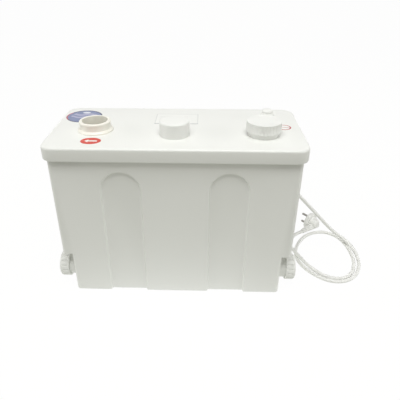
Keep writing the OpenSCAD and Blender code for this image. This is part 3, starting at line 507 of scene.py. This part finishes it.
# a smooth run through every point
def smoothRun(points, steps):
    run = []
    last = len(points) - 1
    for i in range(last):
        a, b = points[max(i - 1, 0)], points[i]
        c, d = points[i + 1], points[min(i + 2, last)]
        for step in range(steps):
            t = step / steps
            run.append(0.5 * (2 * b + (c - a) * t + (2 * a - 5 * b + 4 * c - d) * t ** 2
                              + (3 * b - a - 3 * c + d) * t ** 3))
    return run + [points[last]]


def makeLead():
    plugExit = plugMatrix() @ Vector((-plug["exitSet"], plug["neck"], -plug["neckDrop"])) * mm
    points = smoothRun([reliefEnd()] + [Vector(p) for p in lead["route"]] + [plugExit], lead["smooth"])
    curve = bpy.data.curves.new("mainsLead", "CURVE")
    curve.dimensions = "3D"
    curve.bevel_depth = lead["diameter"] / 2
    curve.bevel_resolution = lead["roundness"]
    curve.use_fill_caps = True
    spline = curve.splines.new("POLY")
    spline.points.add(len(points) - 1)
    for knot, point in zip(spline.points, points):
        knot.co = (*point, 1)
    spline.use_smooth = True
    piece = linkObject("mainsLead", curve)
    curve.materials.append(finishes["lead_sheath"])
    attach(piece, "tank_unit")
    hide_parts("mains_lead")
    return piece


# strain relief: a ring swept round the bend, then tapered and ribbed
def makeRelief():
    x, y, z = relief["start"]
    centre = Vector((x, y, z - relief["bend"]))
    turn = math.radians(relief["turn"])
    bm = bmesh.new()
    bmesh.ops.create_circle(bm, cap_ends=False, radius=1.0, segments=relief["sides"])
    moveTo(bm, (x, y, z), turnAbout("Y", 90))
    bmesh.ops.spin(bm, geom=bm.verts[:] + bm.edges[:], cent=centre, axis=(0, 1, 0), dvec=(0, 0, 0),
                   angle=turn, steps=relief["steps"], use_merge=False, use_duplicate=False)
    for vert in bm.verts:
        arm = vert.co - centre
        angle = math.atan2(arm.x, arm.z)
        core = centre + Vector((math.sin(angle), 0, math.cos(angle))) * relief["bend"]
        share = angle / turn
        groove = 0.5 - 0.5 * math.cos(2 * math.pi * share * relief["ribs"])
        size = relief["big"] + (relief["small"] - relief["big"]) * share
        size -= relief["rib"] * groove * (share < relief["plainFrom"])
        vert.co = core + (vert.co - core).normalized() * size
    bmesh.ops.holes_fill(bm, edges=[edge for edge in bm.edges if edge.is_boundary], sides=0)
    bmesh.ops.recalc_face_normals(bm, faces=bm.faces[:])
    piece = addPiece("strainRelief", bm, "tank_unit", "lead_sheath")
    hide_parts("strain_relief")
    return piece


# the plug's neck: a taper with ribs on its thinner half
def plugNeck():
    length = plug["neckBack"] + plug["neck"]
    profile = [(0, 0), (plug["neckBig"], 0, plug["neckRound"])]
    for i in range(plug["ribs"]):
        for place, dent in plug["ribDents"]:
            share = plug["ribFrom"] + plug["ribSpan"] * (i + place) / plug["ribs"]
            size = plug["neckBig"] + (plug["neckSmall"] - plug["neckBig"]) * share
            profile.append((size - dent, length * share))
    profile += [(plug["neckSmall"], length, plug["neckTip"]), (0, length)]
    neck = turned(profile, plug["neckSteps"])
    return moveTo(neck, (-plug["exitSet"], -plug["neckBack"], -plug["neckDrop"]), turnAbout("X", -90))


# plug: round face, tapered grip behind it and a ribbed neck to one side
def makePlug():
    back = -plug["faceDepth"]
    face = turned([(0, back), (plug["face"], back, plug["faceBackRound"]),
                   (plug["face"], 0, plug["faceRound"]), (0, 0)], plug["steps"])
    low, high = back - plug["backDepth"], back + plug["overlap"]
    grip = turned([(0, low), (plug["back"] - plug["backTaper"], low, plug["backRound"]),
                   (plug["back"], high), (0, high)], plug["steps"])
    for part in (face, grip):
        moveTo(part, (0, 0, 0), turnAbout("Y", 90))
    body = joined([face, grip, plugNeck()])
    bmesh.ops.transform(body, matrix=plugMatrix(), verts=body.verts[:])
    piece = addPiece("plugBody", body, "tank_unit", "lead_sheath")
    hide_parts("plug_body")
    return piece


def makePins():
    pins = []
    for side in (-1, 1):
        pin = turned([(0, -plug["pinIn"]), (plug["pin"], -plug["pinIn"]),
                      (plug["pin"], plug["pinOut"] - plug["pin"]),
                      (plug["pin"], plug["pinOut"], plug["pinTip"]), (0, plug["pinOut"])], plug["pinSteps"])
        pins.append(moveTo(pin, (0, 0, side * plug["pinPitch"] / 2), turnAbout("Y", 90)))
    pair = joined(pins)
    bmesh.ops.transform(pair, matrix=plugMatrix(), verts=pair.verts[:])
    pinPiece = addPiece("plugPins", pair, "tank_unit", "nickel_pin")
    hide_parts("plug_pins")
    return pinPiece


leadPiece = makeLead()
reliefPiece = makeRelief()
plugPiece = makePlug()
pinPiece = makePins()
print("lead, strain relief and plug made")


# tank: the solid's own shape with its edges eased as a mould leaves them
tankLook = {"merge": 0.01, "flat": 0.6, "sharp": 24.0, "ease": 0.9, "segments": 3}


def makeTank():
    look = tankLook
    bm = bmesh.new()
    bm.from_mesh(nodes["tank"].data)
    bmesh.ops.scale(bm, vec=(1 / mm, 1 / mm, 1 / mm), verts=bm.verts[:])
    bmesh.ops.remove_doubles(bm, verts=bm.verts[:], dist=look["merge"])
    bmesh.ops.dissolve_limit(bm, angle_limit=math.radians(look["flat"]), verts=bm.verts[:],
                             edges=bm.edges[:])
    edges = [edge for edge in bm.edges if edge.calc_face_angle(0) > math.radians(look["sharp"])]
    ease(bm, edges, look["ease"], look["segments"], clamp=True)
    piece = addPiece("tankShell", bm, "tank_unit", "white_plastic", smooth=meshing["solidSmooth"])
    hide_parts("tank")


makeTank()
print("tank made")


# lid: a block with round corners, hollowed from below, and a collared neck on it
lidLook = {
    "width": 430.0, "depth": 203.0, "skirt": 23.0, "wall": 3.0, "roof": 3.5,
    "corner": 23.0, "cornerSteps": 14, "edge": 4.0, "edgeSteps": 7,
    "hem": 0.5, "hemSteps": 3, "hemAngle": 60, "facesDown": -0.9,
    "nutWall": 7.0, "serviceHole": 19.0, "breatherHole": 5.0,
    "holeDrop": 12, "holeRise": 8, "holeSteps": 72,
}
neckLook = {
    "bore": 20.0, "neck": 24.0, "collar": 27.0, "collarFoot": 25.2, "collarHeight": 8.0, "collarRound": 0.9,
    "height": 19.5, "mouthRound": 0.5, "foot": 0.5,
}
lidTop = boxOf("lid_gasket")[1].z + lidLook["roof"]
outletAt = boxOf("outlet_spigot")[2]
serviceAt = boxOf("service_cap")[2]
topInletAt = boxOf("top_inlet_cap")[2]
breatherAt = boxOf("breather_base")[2]


def lidBlock():
    look = lidLook
    bm = block((look["width"], look["depth"], look["skirt"]))
    bmesh.ops.translate(bm, vec=(0, 0, lidTop - look["skirt"] / 2), verts=bm.verts[:])
    ease(bm, uprightEdges(bm), look["corner"], look["cornerSteps"])
    rimLow = lidTop - meshing["tiny"]
    rim = [edge for edge in bm.edges if min(vert.co.z for vert in edge.verts) > rimLow]
    ease(bm, rim, look["edge"], look["edgeSteps"])
    bm.normal_update()
    under = [face for face in bm.faces if face.normal.z < look["facesDown"]]
    bmesh.ops.inset_region(bm, faces=under, thickness=look["wall"], use_even_offset=True)
    hollow = bmesh.ops.extrude_discrete_faces(bm, faces=under)["faces"]
    bmesh.ops.translate(bm, vec=(0, 0, look["skirt"] - look["roof"]), verts=hollow[0].verts[:])
    hemHigh = lidTop - look["skirt"] + meshing["tiny"]
    hem = [edge for edge in bm.edges if max(vert.co.z for vert in edge.verts) < hemHigh
           and edge.calc_face_angle(0) > math.radians(look["hemAngle"])]
    ease(bm, hem, look["hem"], look["hemSteps"])
    bmesh.ops.recalc_face_normals(bm, faces=bm.faces[:])
    return bm


def lidCutters():
    nutHigh, nutMiddle = boxOf("spigot_nut")[1:]
    holes = [(outletAt, nutHigh.x - nutMiddle.x - lidLook["nutWall"]), (serviceAt, lidLook["serviceHole"]),
             (topInletAt, neckLook["bore"]), (breatherAt, lidLook["breatherHole"])]
    low, high = lidTop - lidLook["holeDrop"], lidTop + lidLook["holeRise"]
    cutters = []
    for spot, radius in holes:
        hole = turned([(0, low), (radius, low), (radius, high), (0, high)], lidLook["holeSteps"])
        cutters.append(addPiece("hole", moveTo(hole, (spot.x, spot.y, 0)), None, "white_plastic"))
    return cutters


def makeLid():
    lid = addPiece("lidShell", lidBlock(), None, "white_plastic")
    cutHoles(lid, lidCutters())
    smoothShade(lid, meshing["smooth"])
    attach(lid, "lid_unit")
    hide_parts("lid")


def makeNeck():
    look = neckLook
    foot, shoulder, top = lidTop - look["foot"], lidTop + look["collarHeight"], lidTop + look["height"]
    neck = turned([
        (look["bore"], foot), (look["collarFoot"], foot), (look["collar"], shoulder, look["collarRound"]),
        (look["neck"], shoulder), (look["neck"], top, look["mouthRound"]),
        (look["bore"], top, look["mouthRound"]),
    ], closed=True)
    addPiece("topInletNeck", moveTo(neck, (topInletAt.x, topInletAt.y, 0)), "lid_unit", "white_plastic")


makeLid()
makeNeck()
print("lid made")


# outlet: cream spigot with a flange, a beaded rim and a socket
outletLook = {
    "bore": 21.0, "socket": 21.6, "outer": 23.5, "flange": 30.0, "flangeHeight": 5.0, "height": 17.5,
    "bead": 4.5, "beadOut": 3.3, "waistOut": 2.8, "flangeEdge": 2.5, "socketDepth": 26.0, "seatDrop": 44.0,
    "seat": 4.0, "seatBore": 14.0, "tail": 19.0, "tailBore": 16.0, "tailLength": 18.0, "lift": 0.02,
    "seatRound": 0.6, "mouthRound": 0.5, "rimRound": 2.0, "beadSlope": 0.5, "beadRound": 0.4,
    "waistRound": 0.2, "rootRound": 0.3, "flangeRound": 0.7, "tailRound": 0.8,
}


def makeOutlet():
    look = outletLook
    top, socketFloor, seat = look["height"], look["height"] - look["socketDepth"], -look["seatDrop"]
    rim = look["outer"] + look["beadOut"]
    waist = look["outer"] + look["waistOut"]
    low = seat - look["seat"]
    tailLow = low - look["tailLength"]
    bm = turned([
        (look["bore"], seat, look["seatRound"]), (look["bore"], socketFloor), (look["socket"], socketFloor),
        (look["socket"], top, look["mouthRound"]), (rim, top, look["rimRound"]),
        (rim, top - look["bead"] + look["beadSlope"], look["beadRound"]),
        (waist, top - look["bead"], look["waistRound"]), (waist, look["flangeHeight"], look["rootRound"]),
        (look["flange"], look["flangeEdge"], look["flangeRound"]), (look["flange"], look["lift"]),
        (look["outer"], look["lift"]), (look["outer"], low, look["tailRound"]), (look["tail"], low),
        (look["tail"], tailLow, look["tailRound"]), (look["tailBore"], tailLow), (look["tailBore"], low),
        (look["seatBore"], low), (look["seatBore"], seat, look["seatRound"]),
    ], closed=True)
    moveTo(bm, (outletAt.x, outletAt.y, lidTop))
    piece = addPiece("outletSpigot", bm, "lid_unit", "cream_plastic")
    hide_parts("outlet_spigot")


makeOutlet()
print("outlet made")


# service cap: plain push-in cap with a soft top edge
serviceLook = {
    "radius": 25.0, "height": 25.0, "edge": 3.0, "shank": 18.6, "drop": 12.0, "wall": 3.0, "lift": 0.1,
    "groove": 16.1, "grooveTop": 5.5, "grooveHeight": 4.0,
    "hemRound": 0.5, "shankRound": 0.8, "mouthRound": 0.5, "roofRound": 1.0,
}


def makeServiceCap():
    look = serviceLook
    inside = look["groove"] - look["wall"]
    grooveHigh = -look["grooveTop"]
    grooveLow = grooveHigh - look["grooveHeight"]
    roof = look["height"] - look["wall"]
    bm = turned([
        (0, look["height"]), (look["radius"], look["height"], look["edge"]),
        (look["radius"], look["lift"], look["hemRound"]), (look["shank"], look["lift"]),
        (look["shank"], grooveHigh), (look["groove"], grooveHigh), (look["groove"], grooveLow),
        (look["shank"], grooveLow), (look["shank"], -look["drop"], look["shankRound"]),
        (inside, -look["drop"], look["mouthRound"]), (inside, roof, look["roofRound"]), (0, roof),
    ])
    moveTo(bm, (serviceAt.x, serviceAt.y, lidTop))
    piece = addPiece("serviceCap", bm, "service_plug", "white_plastic")
    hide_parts("service_cap")


makeServiceCap()
print("service cap made")


# screw caps: grooved wall, soft top edge, shallow dish in the roof
capShape = {
    "roof": 3.3, "dishSet": 7, "dishRound": 2.0, "brimSet": 5, "brimRound": 1.0, "hemRound": 0.3,
    "gripSet": 0.6, "gripEdge": 0.5, "skin": 0.2, "past": 0.1, "stepsPerGroove": 14, "smooth": 40,
}
sideCap = {"bore": 20.5, "grooves": 16, "depth": 1.4, "narrow": 0.6, "edge": 4.2, "dish": 0.6, "lip": 2.6}
capLook = {
    "top_inlet_cap": {"bore": 24.5, "grooves": 32, "depth": 0.4, "narrow": -0.2, "edge": 1.1, "dish": 0.5,
                      "lip": 1.6, "body": "top_cap", "turn": None},
    "left_inlet_cap": {**sideCap, "body": "left_cap", "turn": -90},
    "right_inlet_cap": {**sideCap, "body": "right_cap", "turn": 90},
}


def makeScrewCap(node, look):
    low, high, middle = boxOf(node)
    size = high - low
    radius = size.y / 2
    length = size.z if look["turn"] is None else size.x
    dish, roof = length - look["dish"], length - capShape["roof"]
    gripLow, gripHigh = look["lip"], length - look["edge"] - capShape["gripSet"]
    bm = turned([
        (0, dish), (radius - capShape["dishSet"], dish, capShape["dishRound"]),
        (radius - capShape["brimSet"], length, capShape["brimRound"]), (radius, length, look["edge"]),
        (radius, gripHigh + capShape["gripEdge"]), (radius, gripHigh), (radius, (gripLow + gripHigh) / 2),
        (radius, gripLow), (radius, gripLow - capShape["gripEdge"]), (radius, 0, capShape["hemRound"]),
        (look["bore"], 0), (look["bore"], roof), (0, roof),
    ], look["grooves"] * capShape["stepsPerGroove"])
    past = capShape["past"]
    pressGrooves(bm, radius - capShape["skin"], look, gripLow - past, gripHigh + past)
    if look["turn"] is None:
        moveTo(bm, (middle.x, middle.y, low.z))
    else:
        base = low.x if look["turn"] > 0 else high.x
        moveTo(bm, (base, middle.y, middle.z), turnAbout("Y", look["turn"]))
    name = node.split("_")[0] + "InletCap"
    piece = addPiece(name, bm, look["body"], "white_plastic", smooth=capShape["smooth"])
    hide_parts(node)


for node, look in capLook.items():
    makeScrewCap(node, look)
print("screw caps made")


# breather: tapered foot under a mushroom cap
breatherLook = {
    "foot": 15.0, "footEdge": 1.5, "footRound": 0.7, "waist": 11.0, "waistRound": 0.4,
    "bore": 4.0, "shank": 5.0, "height": 18.0, "roof": 3.5, "lift": 0.02, "steps": 72,
    "cap": 10.0, "capHeight": 5.0, "capHem": 1.0, "capRound": 3.0, "stem": 6.0, "slip": 0.05,
}


def makeBreather():
    look = breatherLook
    place = (breatherAt.x, breatherAt.y, lidTop)
    waistTop = look["height"] - look["capHeight"]
    base = turned([
        (look["bore"], -look["roof"]), (look["shank"], -look["roof"]), (look["shank"], 0),
        (look["foot"], look["lift"]), (look["foot"], look["footEdge"], look["footRound"]),
        (look["waist"], waistTop, look["waistRound"]), (look["bore"], waistTop),
    ], look["steps"], closed=True)
    basePiece = addPiece("breatherBase", moveTo(base, place), "lid_unit", "white_plastic")
    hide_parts("breather_base")
    stem, stemLow = look["bore"] - look["slip"], waistTop - look["stem"]
    cap = turned([
        (0, stemLow), (stem, stemLow), (stem, waistTop), (look["cap"], waistTop, look["capHem"]),
        (look["cap"], look["height"], look["capRound"]), (0, look["height"]),
    ], look["steps"])
    capPiece = addPiece("breatherCap", moveTo(cap, place), "lid_unit", "white_plastic")
    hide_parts("breather_cap")


makeBreather()
print("breather made")


# toilet sleeve: rubber tube with a seated flange and a rolled mouth, under a worm-drive clamp
sleeveLook = {
    "bore": 52.0, "wall": 4.0, "flange": 8.0, "inside": 14.0, "tankWall": 3.5, "steps": 120,
    "tailRound": 0.6, "seatRound": 0.6, "flangeRound": 1.2, "rootRound": 1.0,
    "mouthOuter": 1.6, "mouthInner": 1.8,
}
clampLook = {
    "band": 10.0, "thick": 1.2, "bandInner": 0.2, "bandOuter": 0.3,
    "lug": 12.0, "lugOut": 10.0, "lugSet": 3, "lugTrim": 0.6, "lugRound": 1.2, "lugSteps": 3,
    "screw": 2.6, "screwHeight": 3.0, "screwFoot": 0.3, "screwRound": 0.5, "slot": 1.0, "slotFloor": 2.0,
    "screwSink": 0.2, "screwSteps": 24,
}
sleeveOuter = sleeveLook["bore"] + sleeveLook["wall"]


def makeSleeve():
    look = sleeveLook
    low, high, middle = boxOf("wc_sleeve")
    length = high.y - low.y
    seat = look["inside"] + look["tankWall"]
    flange = sleeveOuter + look["flange"]
    bm = turned([
        (look["bore"], 0, look["tailRound"]), (sleeveOuter, 0, look["tailRound"]), (sleeveOuter, seat),
        (flange, seat, look["seatRound"]), (flange, seat + look["wall"], look["flangeRound"]),
        (sleeveOuter, seat + look["wall"], look["rootRound"]), (sleeveOuter, length, look["mouthOuter"]),
        (look["bore"], length, look["mouthInner"]),
    ], look["steps"], closed=True)
    moveTo(bm, (middle.x, low.y, middle.z), turnAbout("X", -90))
    piece = addPiece("toiletSleeve", bm, "tank_unit", "grey_rubber")
    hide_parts("wc_sleeve")


def makeClamp():
    look = clampLook
    low, high, middle = boxOf("wc_clamp")
    bandOuter = sleeveOuter + look["thick"]
    band = turned([
        (sleeveOuter, 0, look["bandInner"]), (bandOuter, 0, look["bandOuter"]),
        (bandOuter, look["band"], look["bandOuter"]), (sleeveOuter, look["band"], look["bandInner"]),
    ], sleeveLook["steps"], closed=True)
    moveTo(band, (0, low.y, middle.z), turnAbout("X", -90))
    piece = addPiece("sleeveClamp", band, "tank_unit", "steel")
    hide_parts("wc_clamp")
    lugWide = look["lugOut"] - look["lugSet"]
    lugX, lugY = high.x - lugWide / 2, low.y + look["band"] / 2
    house = block((lugWide, look["band"] - look["lugTrim"], look["lug"]))
    ease(house, house.edges[:], look["lugRound"], look["lugSteps"])
    addPiece("clampHousing", moveTo(house, (lugX, lugY, middle.z)), "tank_unit", "steel")
    screw = turned([
        (0, 0), (look["screw"], 0, look["screwFoot"]),
        (look["screw"], look["screwHeight"], look["screwRound"]), (look["slot"], look["screwHeight"]),
        (look["slot"], look["slotFloor"]), (0, look["slotFloor"]),
    ], look["screwSteps"])
    moveTo(screw, (lugX, lugY, middle.z + look["lug"] / 2 - look["screwSink"]))
    addPiece("clampScrew", screw, "tank_unit", "steel")


makeSleeve()
makeClamp()
print("toilet sleeve made")


# cable gland: grooved ring on the tank's end
glandLook = {
    "radius": 10.0, "out": 7.0, "shank": 7.0, "tail": 9.5, "tailRound": 0.6, "lift": 0.02, "nose": 2,
    "noseRound": 0.6, "shoulderRound": 0.8, "grooves": 12, "depth": 0.7, "narrow": -0.35, "gripFrom": 0.8,
    "gripLow": 1.2, "gripHigh": 4.2, "pressLow": 1.0, "pressHigh": 4.6, "skin": 0.2, "stepsPerGroove": 8,
}


def makeGland():
    look = glandLook
    high, middle = boxOf("cable_gland")[1:]
    radius = look["radius"]
    bm = turned([
        (0, -look["tail"]), (look["shank"], -look["tail"], look["tailRound"]), (look["shank"], 0),
        (radius, look["lift"]), (radius, look["gripFrom"]), (radius, look["gripLow"]),
        (radius, look["gripHigh"]), (radius, look["out"] - look["nose"], look["shoulderRound"]),
        (radius - look["nose"], look["out"], look["noseRound"]), (0, look["out"]),
    ], look["grooves"] * look["stepsPerGroove"])
    pressGrooves(bm, radius - look["skin"], look, look["pressLow"], look["pressHigh"])
    moveTo(bm, (high.x - look["out"], middle.y, middle.z), turnAbout("Y", 90))
    piece = addPiece("cableGland", bm, "tank_unit", "pale_grey_plastic")
    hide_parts("cable_gland")


makeGland()
print("gland made")


# stickers on the lid: an arrow, a wave badge, a ruled plate and a barred ring
sheetLook = {
    "height": 0.15, "plateCorner": 2.5, "plateSteps": 5, "discSteps": 64,
    "fibreScale": 400.0, "fibreDetail": 3.0, "gloss": (0.3, 0.42), "bump": 0.06, "bumpDepth": 0.0002,
}
arrowLook = {
    "at": (-136.5, -69.5), "size": (33.4, 26.7), "red": (0.66, 0.055, 0.03), "deepRed": (0.56, 0.04, 0.025),
    "mottle": 120.0, "mottleDetail": 3.0, "white": (0.85, 0.85, 0.83),
    "stemWide": 2.4, "stemMiddle": 2.6, "stemLong": 7.8, "tip": 10.6, "slope": 0.9, "headBack": -4.2,
}
waveLook = {
    "at": (-175.6, 49.5), "size": (65.5, 65.5), "blue": (0.13, 0.17, 0.31), "paleBlue": (0.2, 0.24, 0.4),
    "mottle": 40.0, "mottleDetail": 3.0, "waveShade": (0.38, 0.38, 0.53), "pitch": 0.2, "swell": 3.4,
    "highWave": 9.0, "highWide": 4.2, "lowWave": -4.0, "lowWide": 3.4, "waveReach": 24.0,
    "dropShade": (0.72, 0.74, 0.8), "dropAt": 20.0, "dropSquash": 0.4, "dropSize": 4.6,
    "rimFrom": 30.2, "rimDark": (0.05, 0.06, 0.11), "rimRed": (0.42, 0.08, 0.11), "redFrom": -25.0,
}
ruledLook = {
    "at": (-3.0, 40.0), "size": (78.0, 54.0), "ink": (0.22, 0.23, 0.25), "inkShare": 0.35,
    "frame": (37.0, 25.0), "frameShare": 0.6, "lineShift": 3.0, "linePitch": 3.4, "lineWide": 0.5,
    "fieldAt": (-6.0, -2.0), "fieldSize": (26.0, 16.0), "footFrom": 25.0, "footBelow": -23.4,
}
ringLook = {
    "at": (185.8, 1.3), "size": (26.0, 26.0), "ink": (0.42, 0.05, 0.06), "inner": 10.0, "outer": 12.2,
    "barSlope": 0.22, "barWide": 1.2, "barReach": 11.0, "barShare": 0.7,
}


# a sheet's material, with its two coordinates from the sticker's middle in millimetres
def inkSheet(name, look):
    finish = newFinish(name)
    place = finish.spotParts()
    x, y = look["at"]
    return finish, place.pick("X") / mm - x, place.pick("Y") / mm - y


def closeSheet(finish, colour):
    look = sheetLook
    fibre = finish.noise(finish.spot(), look["fibreScale"], look["fibreDetail"])
    return finish.close({"Base Color": colour, "Roughness": finish.ramped(fibre, *look["gloss"]),
                         "Normal": finish.bump(fibre, look["bump"], look["bumpDepth"])})


def mottled(finish, look, first, second):
    mottle = finish.noise(finish.spot(), look["mottle"], look["mottleDetail"])
    return finish.blend(mottle, opaque(look[first]), opaque(look[second]))


def reachOf(x, y):
    return (x * x + y * y) ** 0.5


def arrowInk(look):
    finish, x, y = inkSheet("arrowInk", look)
    stem = (abs(y) < look["stemWide"]) * (abs(x - look["stemMiddle"]) < look["stemLong"])
    head = (abs(y) < (x + look["tip"]) * look["slope"]) * (x < look["headBack"])
    red = mottled(finish, look, "red", "deepRed")
    return closeSheet(finish, finish.blend(stem.most(head), red, opaque(look["white"])))


def waveInk(look):
    finish, x, y = inkSheet("waveInk", look)
    reach = reachOf(x, y)
    swell = x.sum("SINE", x * look["pitch"]) * look["swell"]
    highWave = abs(y - look["highWave"] - swell) < look["highWide"]
    lowWave = abs(y - look["lowWave"] - swell) < look["lowWide"]
    waves = highWave.most(lowWave) * (reach < look["waveReach"])
    rise = y - look["dropAt"]
    drop = (x * x * look["dropSquash"] + rise * rise) ** 0.5 < look["dropSize"]
    inner = finish.blend(waves, mottled(finish, look, "blue", "paleBlue"), opaque(look["waveShade"]))
    inner = finish.blend(drop, inner, opaque(look["dropShade"]))
    rim = finish.blend(x < look["redFrom"], opaque(look["rimDark"]), opaque(look["rimRed"]))
    return closeSheet(finish, finish.blend(reach > look["rimFrom"], inner, rim))


def ruledInk(look):
    finish, x, y = inkSheet("ruledInk", look)
    frameLine = (abs(x) > look["frame"][0]).most(abs(y) > look["frame"][1])
    shifted = y + look["lineShift"]
    lines = abs(shifted.sum("WRAP", shifted, look["linePitch"], -look["linePitch"])) < look["lineWide"]
    across = abs(x - look["fieldAt"][0]) < look["fieldSize"][0]
    field = across * (abs(y - look["fieldAt"][1]) < look["fieldSize"][1])
    foot = (y < look["footBelow"]) * (abs(x) > look["footFrom"])
    ink = (frameLine * look["frameShare"]).most(lines * field) + foot
    return closeSheet(finish, finish.blend(ink * look["inkShare"], opaque(whiteShade), opaque(look["ink"])))


def ringInk(look):
    finish, x, y = inkSheet("ringInk", look)
    reach = reachOf(x, y)
    ring = (reach > look["inner"]) * (reach < look["outer"])
    bar = (abs(y + x * look["barSlope"]) < look["barWide"]) * (reach < look["barReach"])
    mark = ring.most(bar * look["barShare"])
    return closeSheet(finish, finish.blend(mark, opaque(whiteShade), opaque(look["ink"])))


def plateSheet(wide, deep):
    bm = block((wide, deep, sheetLook["height"]))
    ease(bm, uprightEdges(bm), sheetLook["plateCorner"], sheetLook["plateSteps"])
    return bm


def discSheet(wide, deep):
    bm = bmesh.new()
    bmesh.ops.create_cone(bm, cap_ends=True, cap_tris=False, segments=sheetLook["discSteps"], radius1=1.0,
                          radius2=1.0, depth=sheetLook["height"])
    bmesh.ops.scale(bm, vec=(wide / 2, deep / 2, 1.0), verts=bm.verts[:])
    return bm


def makeSticker(name, look, sheet, ink):
    x, y = look["at"]
    bm = moveTo(sheet(*look["size"]), (x, y, lidTop + sheetLook["height"] / 2))
    addPiece(name, bm, "lid_unit", "white_plastic", ink(look))


makeSticker("arrowSticker", arrowLook, discSheet, arrowInk)
makeSticker("waveBadge", waveLook, discSheet, waveInk)
makeSticker("ruledPlate", ruledLook, plateSheet, ruledInk)
makeSticker("ringMark", ringLook, discSheet, ringInk)
print("stickers made")


# pieces inside the tank keep their solids and take the finish of their slot
def dressNodes():
    slots = {part["node"]: part["material_slot"] for part in frame["record"]["subparts"]}
    for name, piece in nodes.items():
        piece.data.materials.clear()
        piece.data.materials.append(finishes[slots[name]])
        smoothShade(piece, meshing["solidSmooth"])


dressNodes()
print("inner pieces dressed")


# floor, lamps and world
stage = {
    "floorSize": 12.0, "floorColour": (0.36, 0.36, 0.29), "floorGlow": 0.93, "glowLight": 1.05,
    "patch": (0.68, 0.59), "patchLight": 1.29, "patchColour": (0.985, 1.0, 0.975),
    "worldLight": 0.232, "worldColour": (1.0, 0.985, 0.91),
    "backdropLight": 1.0, "backdrop": (1.0, 1.0, 1.0),
}
lamps = {
    "overhead": {"place": (0.0, -0.58, 1.95), "aim": (0.0, -0.05, 0.2), "size": 1.4, "power": 30.4},
    "leftSide": {"place": (-1.9, -0.3, 0.55), "aim": (0.0, 0.0, 0.2), "size": 1.2, "power": 9.0},
    "rightSide": {"place": (1.9, -0.3, 0.55), "aim": (0.0, 0.0, 0.2), "size": 1.2, "power": 9.0},
}


# rays that show the backdrop itself: straight from the camera, mirrored or through glass
def shownRay(finish):
    path = finish.node("ShaderNodeLightPath")
    seen = path.pick("Is Camera Ray").most(path.pick("Is Glossy Ray"))
    return seen.most(path.pick("Is Transmission Ray"))


def lightOf(finish, kind, colour, strength):
    return finish.node(kind, {}, {"Color": opaque(stage[colour]), "Strength": stage[strength]})


# the floor throws soft light up near the object, and shows as the pale backdrop
def makeFloor():
    bm = bmesh.new()
    bmesh.ops.create_grid(bm, x_segments=1, y_segments=1, size=stage["floorSize"] / 2)
    mesh = bpy.data.meshes.new("floor")
    bm.to_mesh(mesh)
    bm.free()
    floor = linkObject("floor", mesh)
    finish = newFinish("paleFloor")
    shown = shownRay(finish)
    place = finish.spotParts()
    near = (1 - reachOf(place.pick("X") / stage["patch"][0], place.pick("Y") / stage["patch"][1])).most(0.0)
    matt = finish.node("ShaderNodeBsdfDiffuse", {}, {"Color": opaque(stage["floorColour"])})
    lit = lightOf(finish, "ShaderNodeEmission", "patchColour", "patchLight")
    glow = lightOf(finish, "ShaderNodeEmission", "backdrop", "glowLight")
    bright = finish.mixed(near * (1 - shown), matt, lit)
    surface = finish.mixed(shown * stage["floorGlow"], bright, glow)
    finish.node("ShaderNodeOutputMaterial", {}, {"Surface": surface})
    mesh.materials.append(finish.owner)


def makeWorld():
    world = bpy.data.worlds.new("studio")
    bpy.context.scene.world = world
    finish = Finish(world)
    dim = lightOf(finish, "ShaderNodeBackground", "worldColour", "worldLight")
    white = lightOf(finish, "ShaderNodeBackground", "backdrop", "backdropLight")
    surface = finish.mixed(shownRay(finish), dim, white)
    finish.node("ShaderNodeOutputWorld", {}, {"Surface": surface})


def makeLamp(name, look):
    data = bpy.data.lights.new(name, "AREA")
    data.energy = look["power"]
    data.size = look["size"]
    lamp = linkObject(name, data)
    place = Vector(look["place"])
    lamp.location = place
    lamp.rotation_euler = (Vector(look["aim"]) - place).to_track_quat("-Z", "Y").to_euler()


makeFloor()
makeWorld()
for name, look in lamps.items():
    makeLamp(name, look)
bpy.context.scene.view_settings.view_transform = "Standard"
print("stage lit")
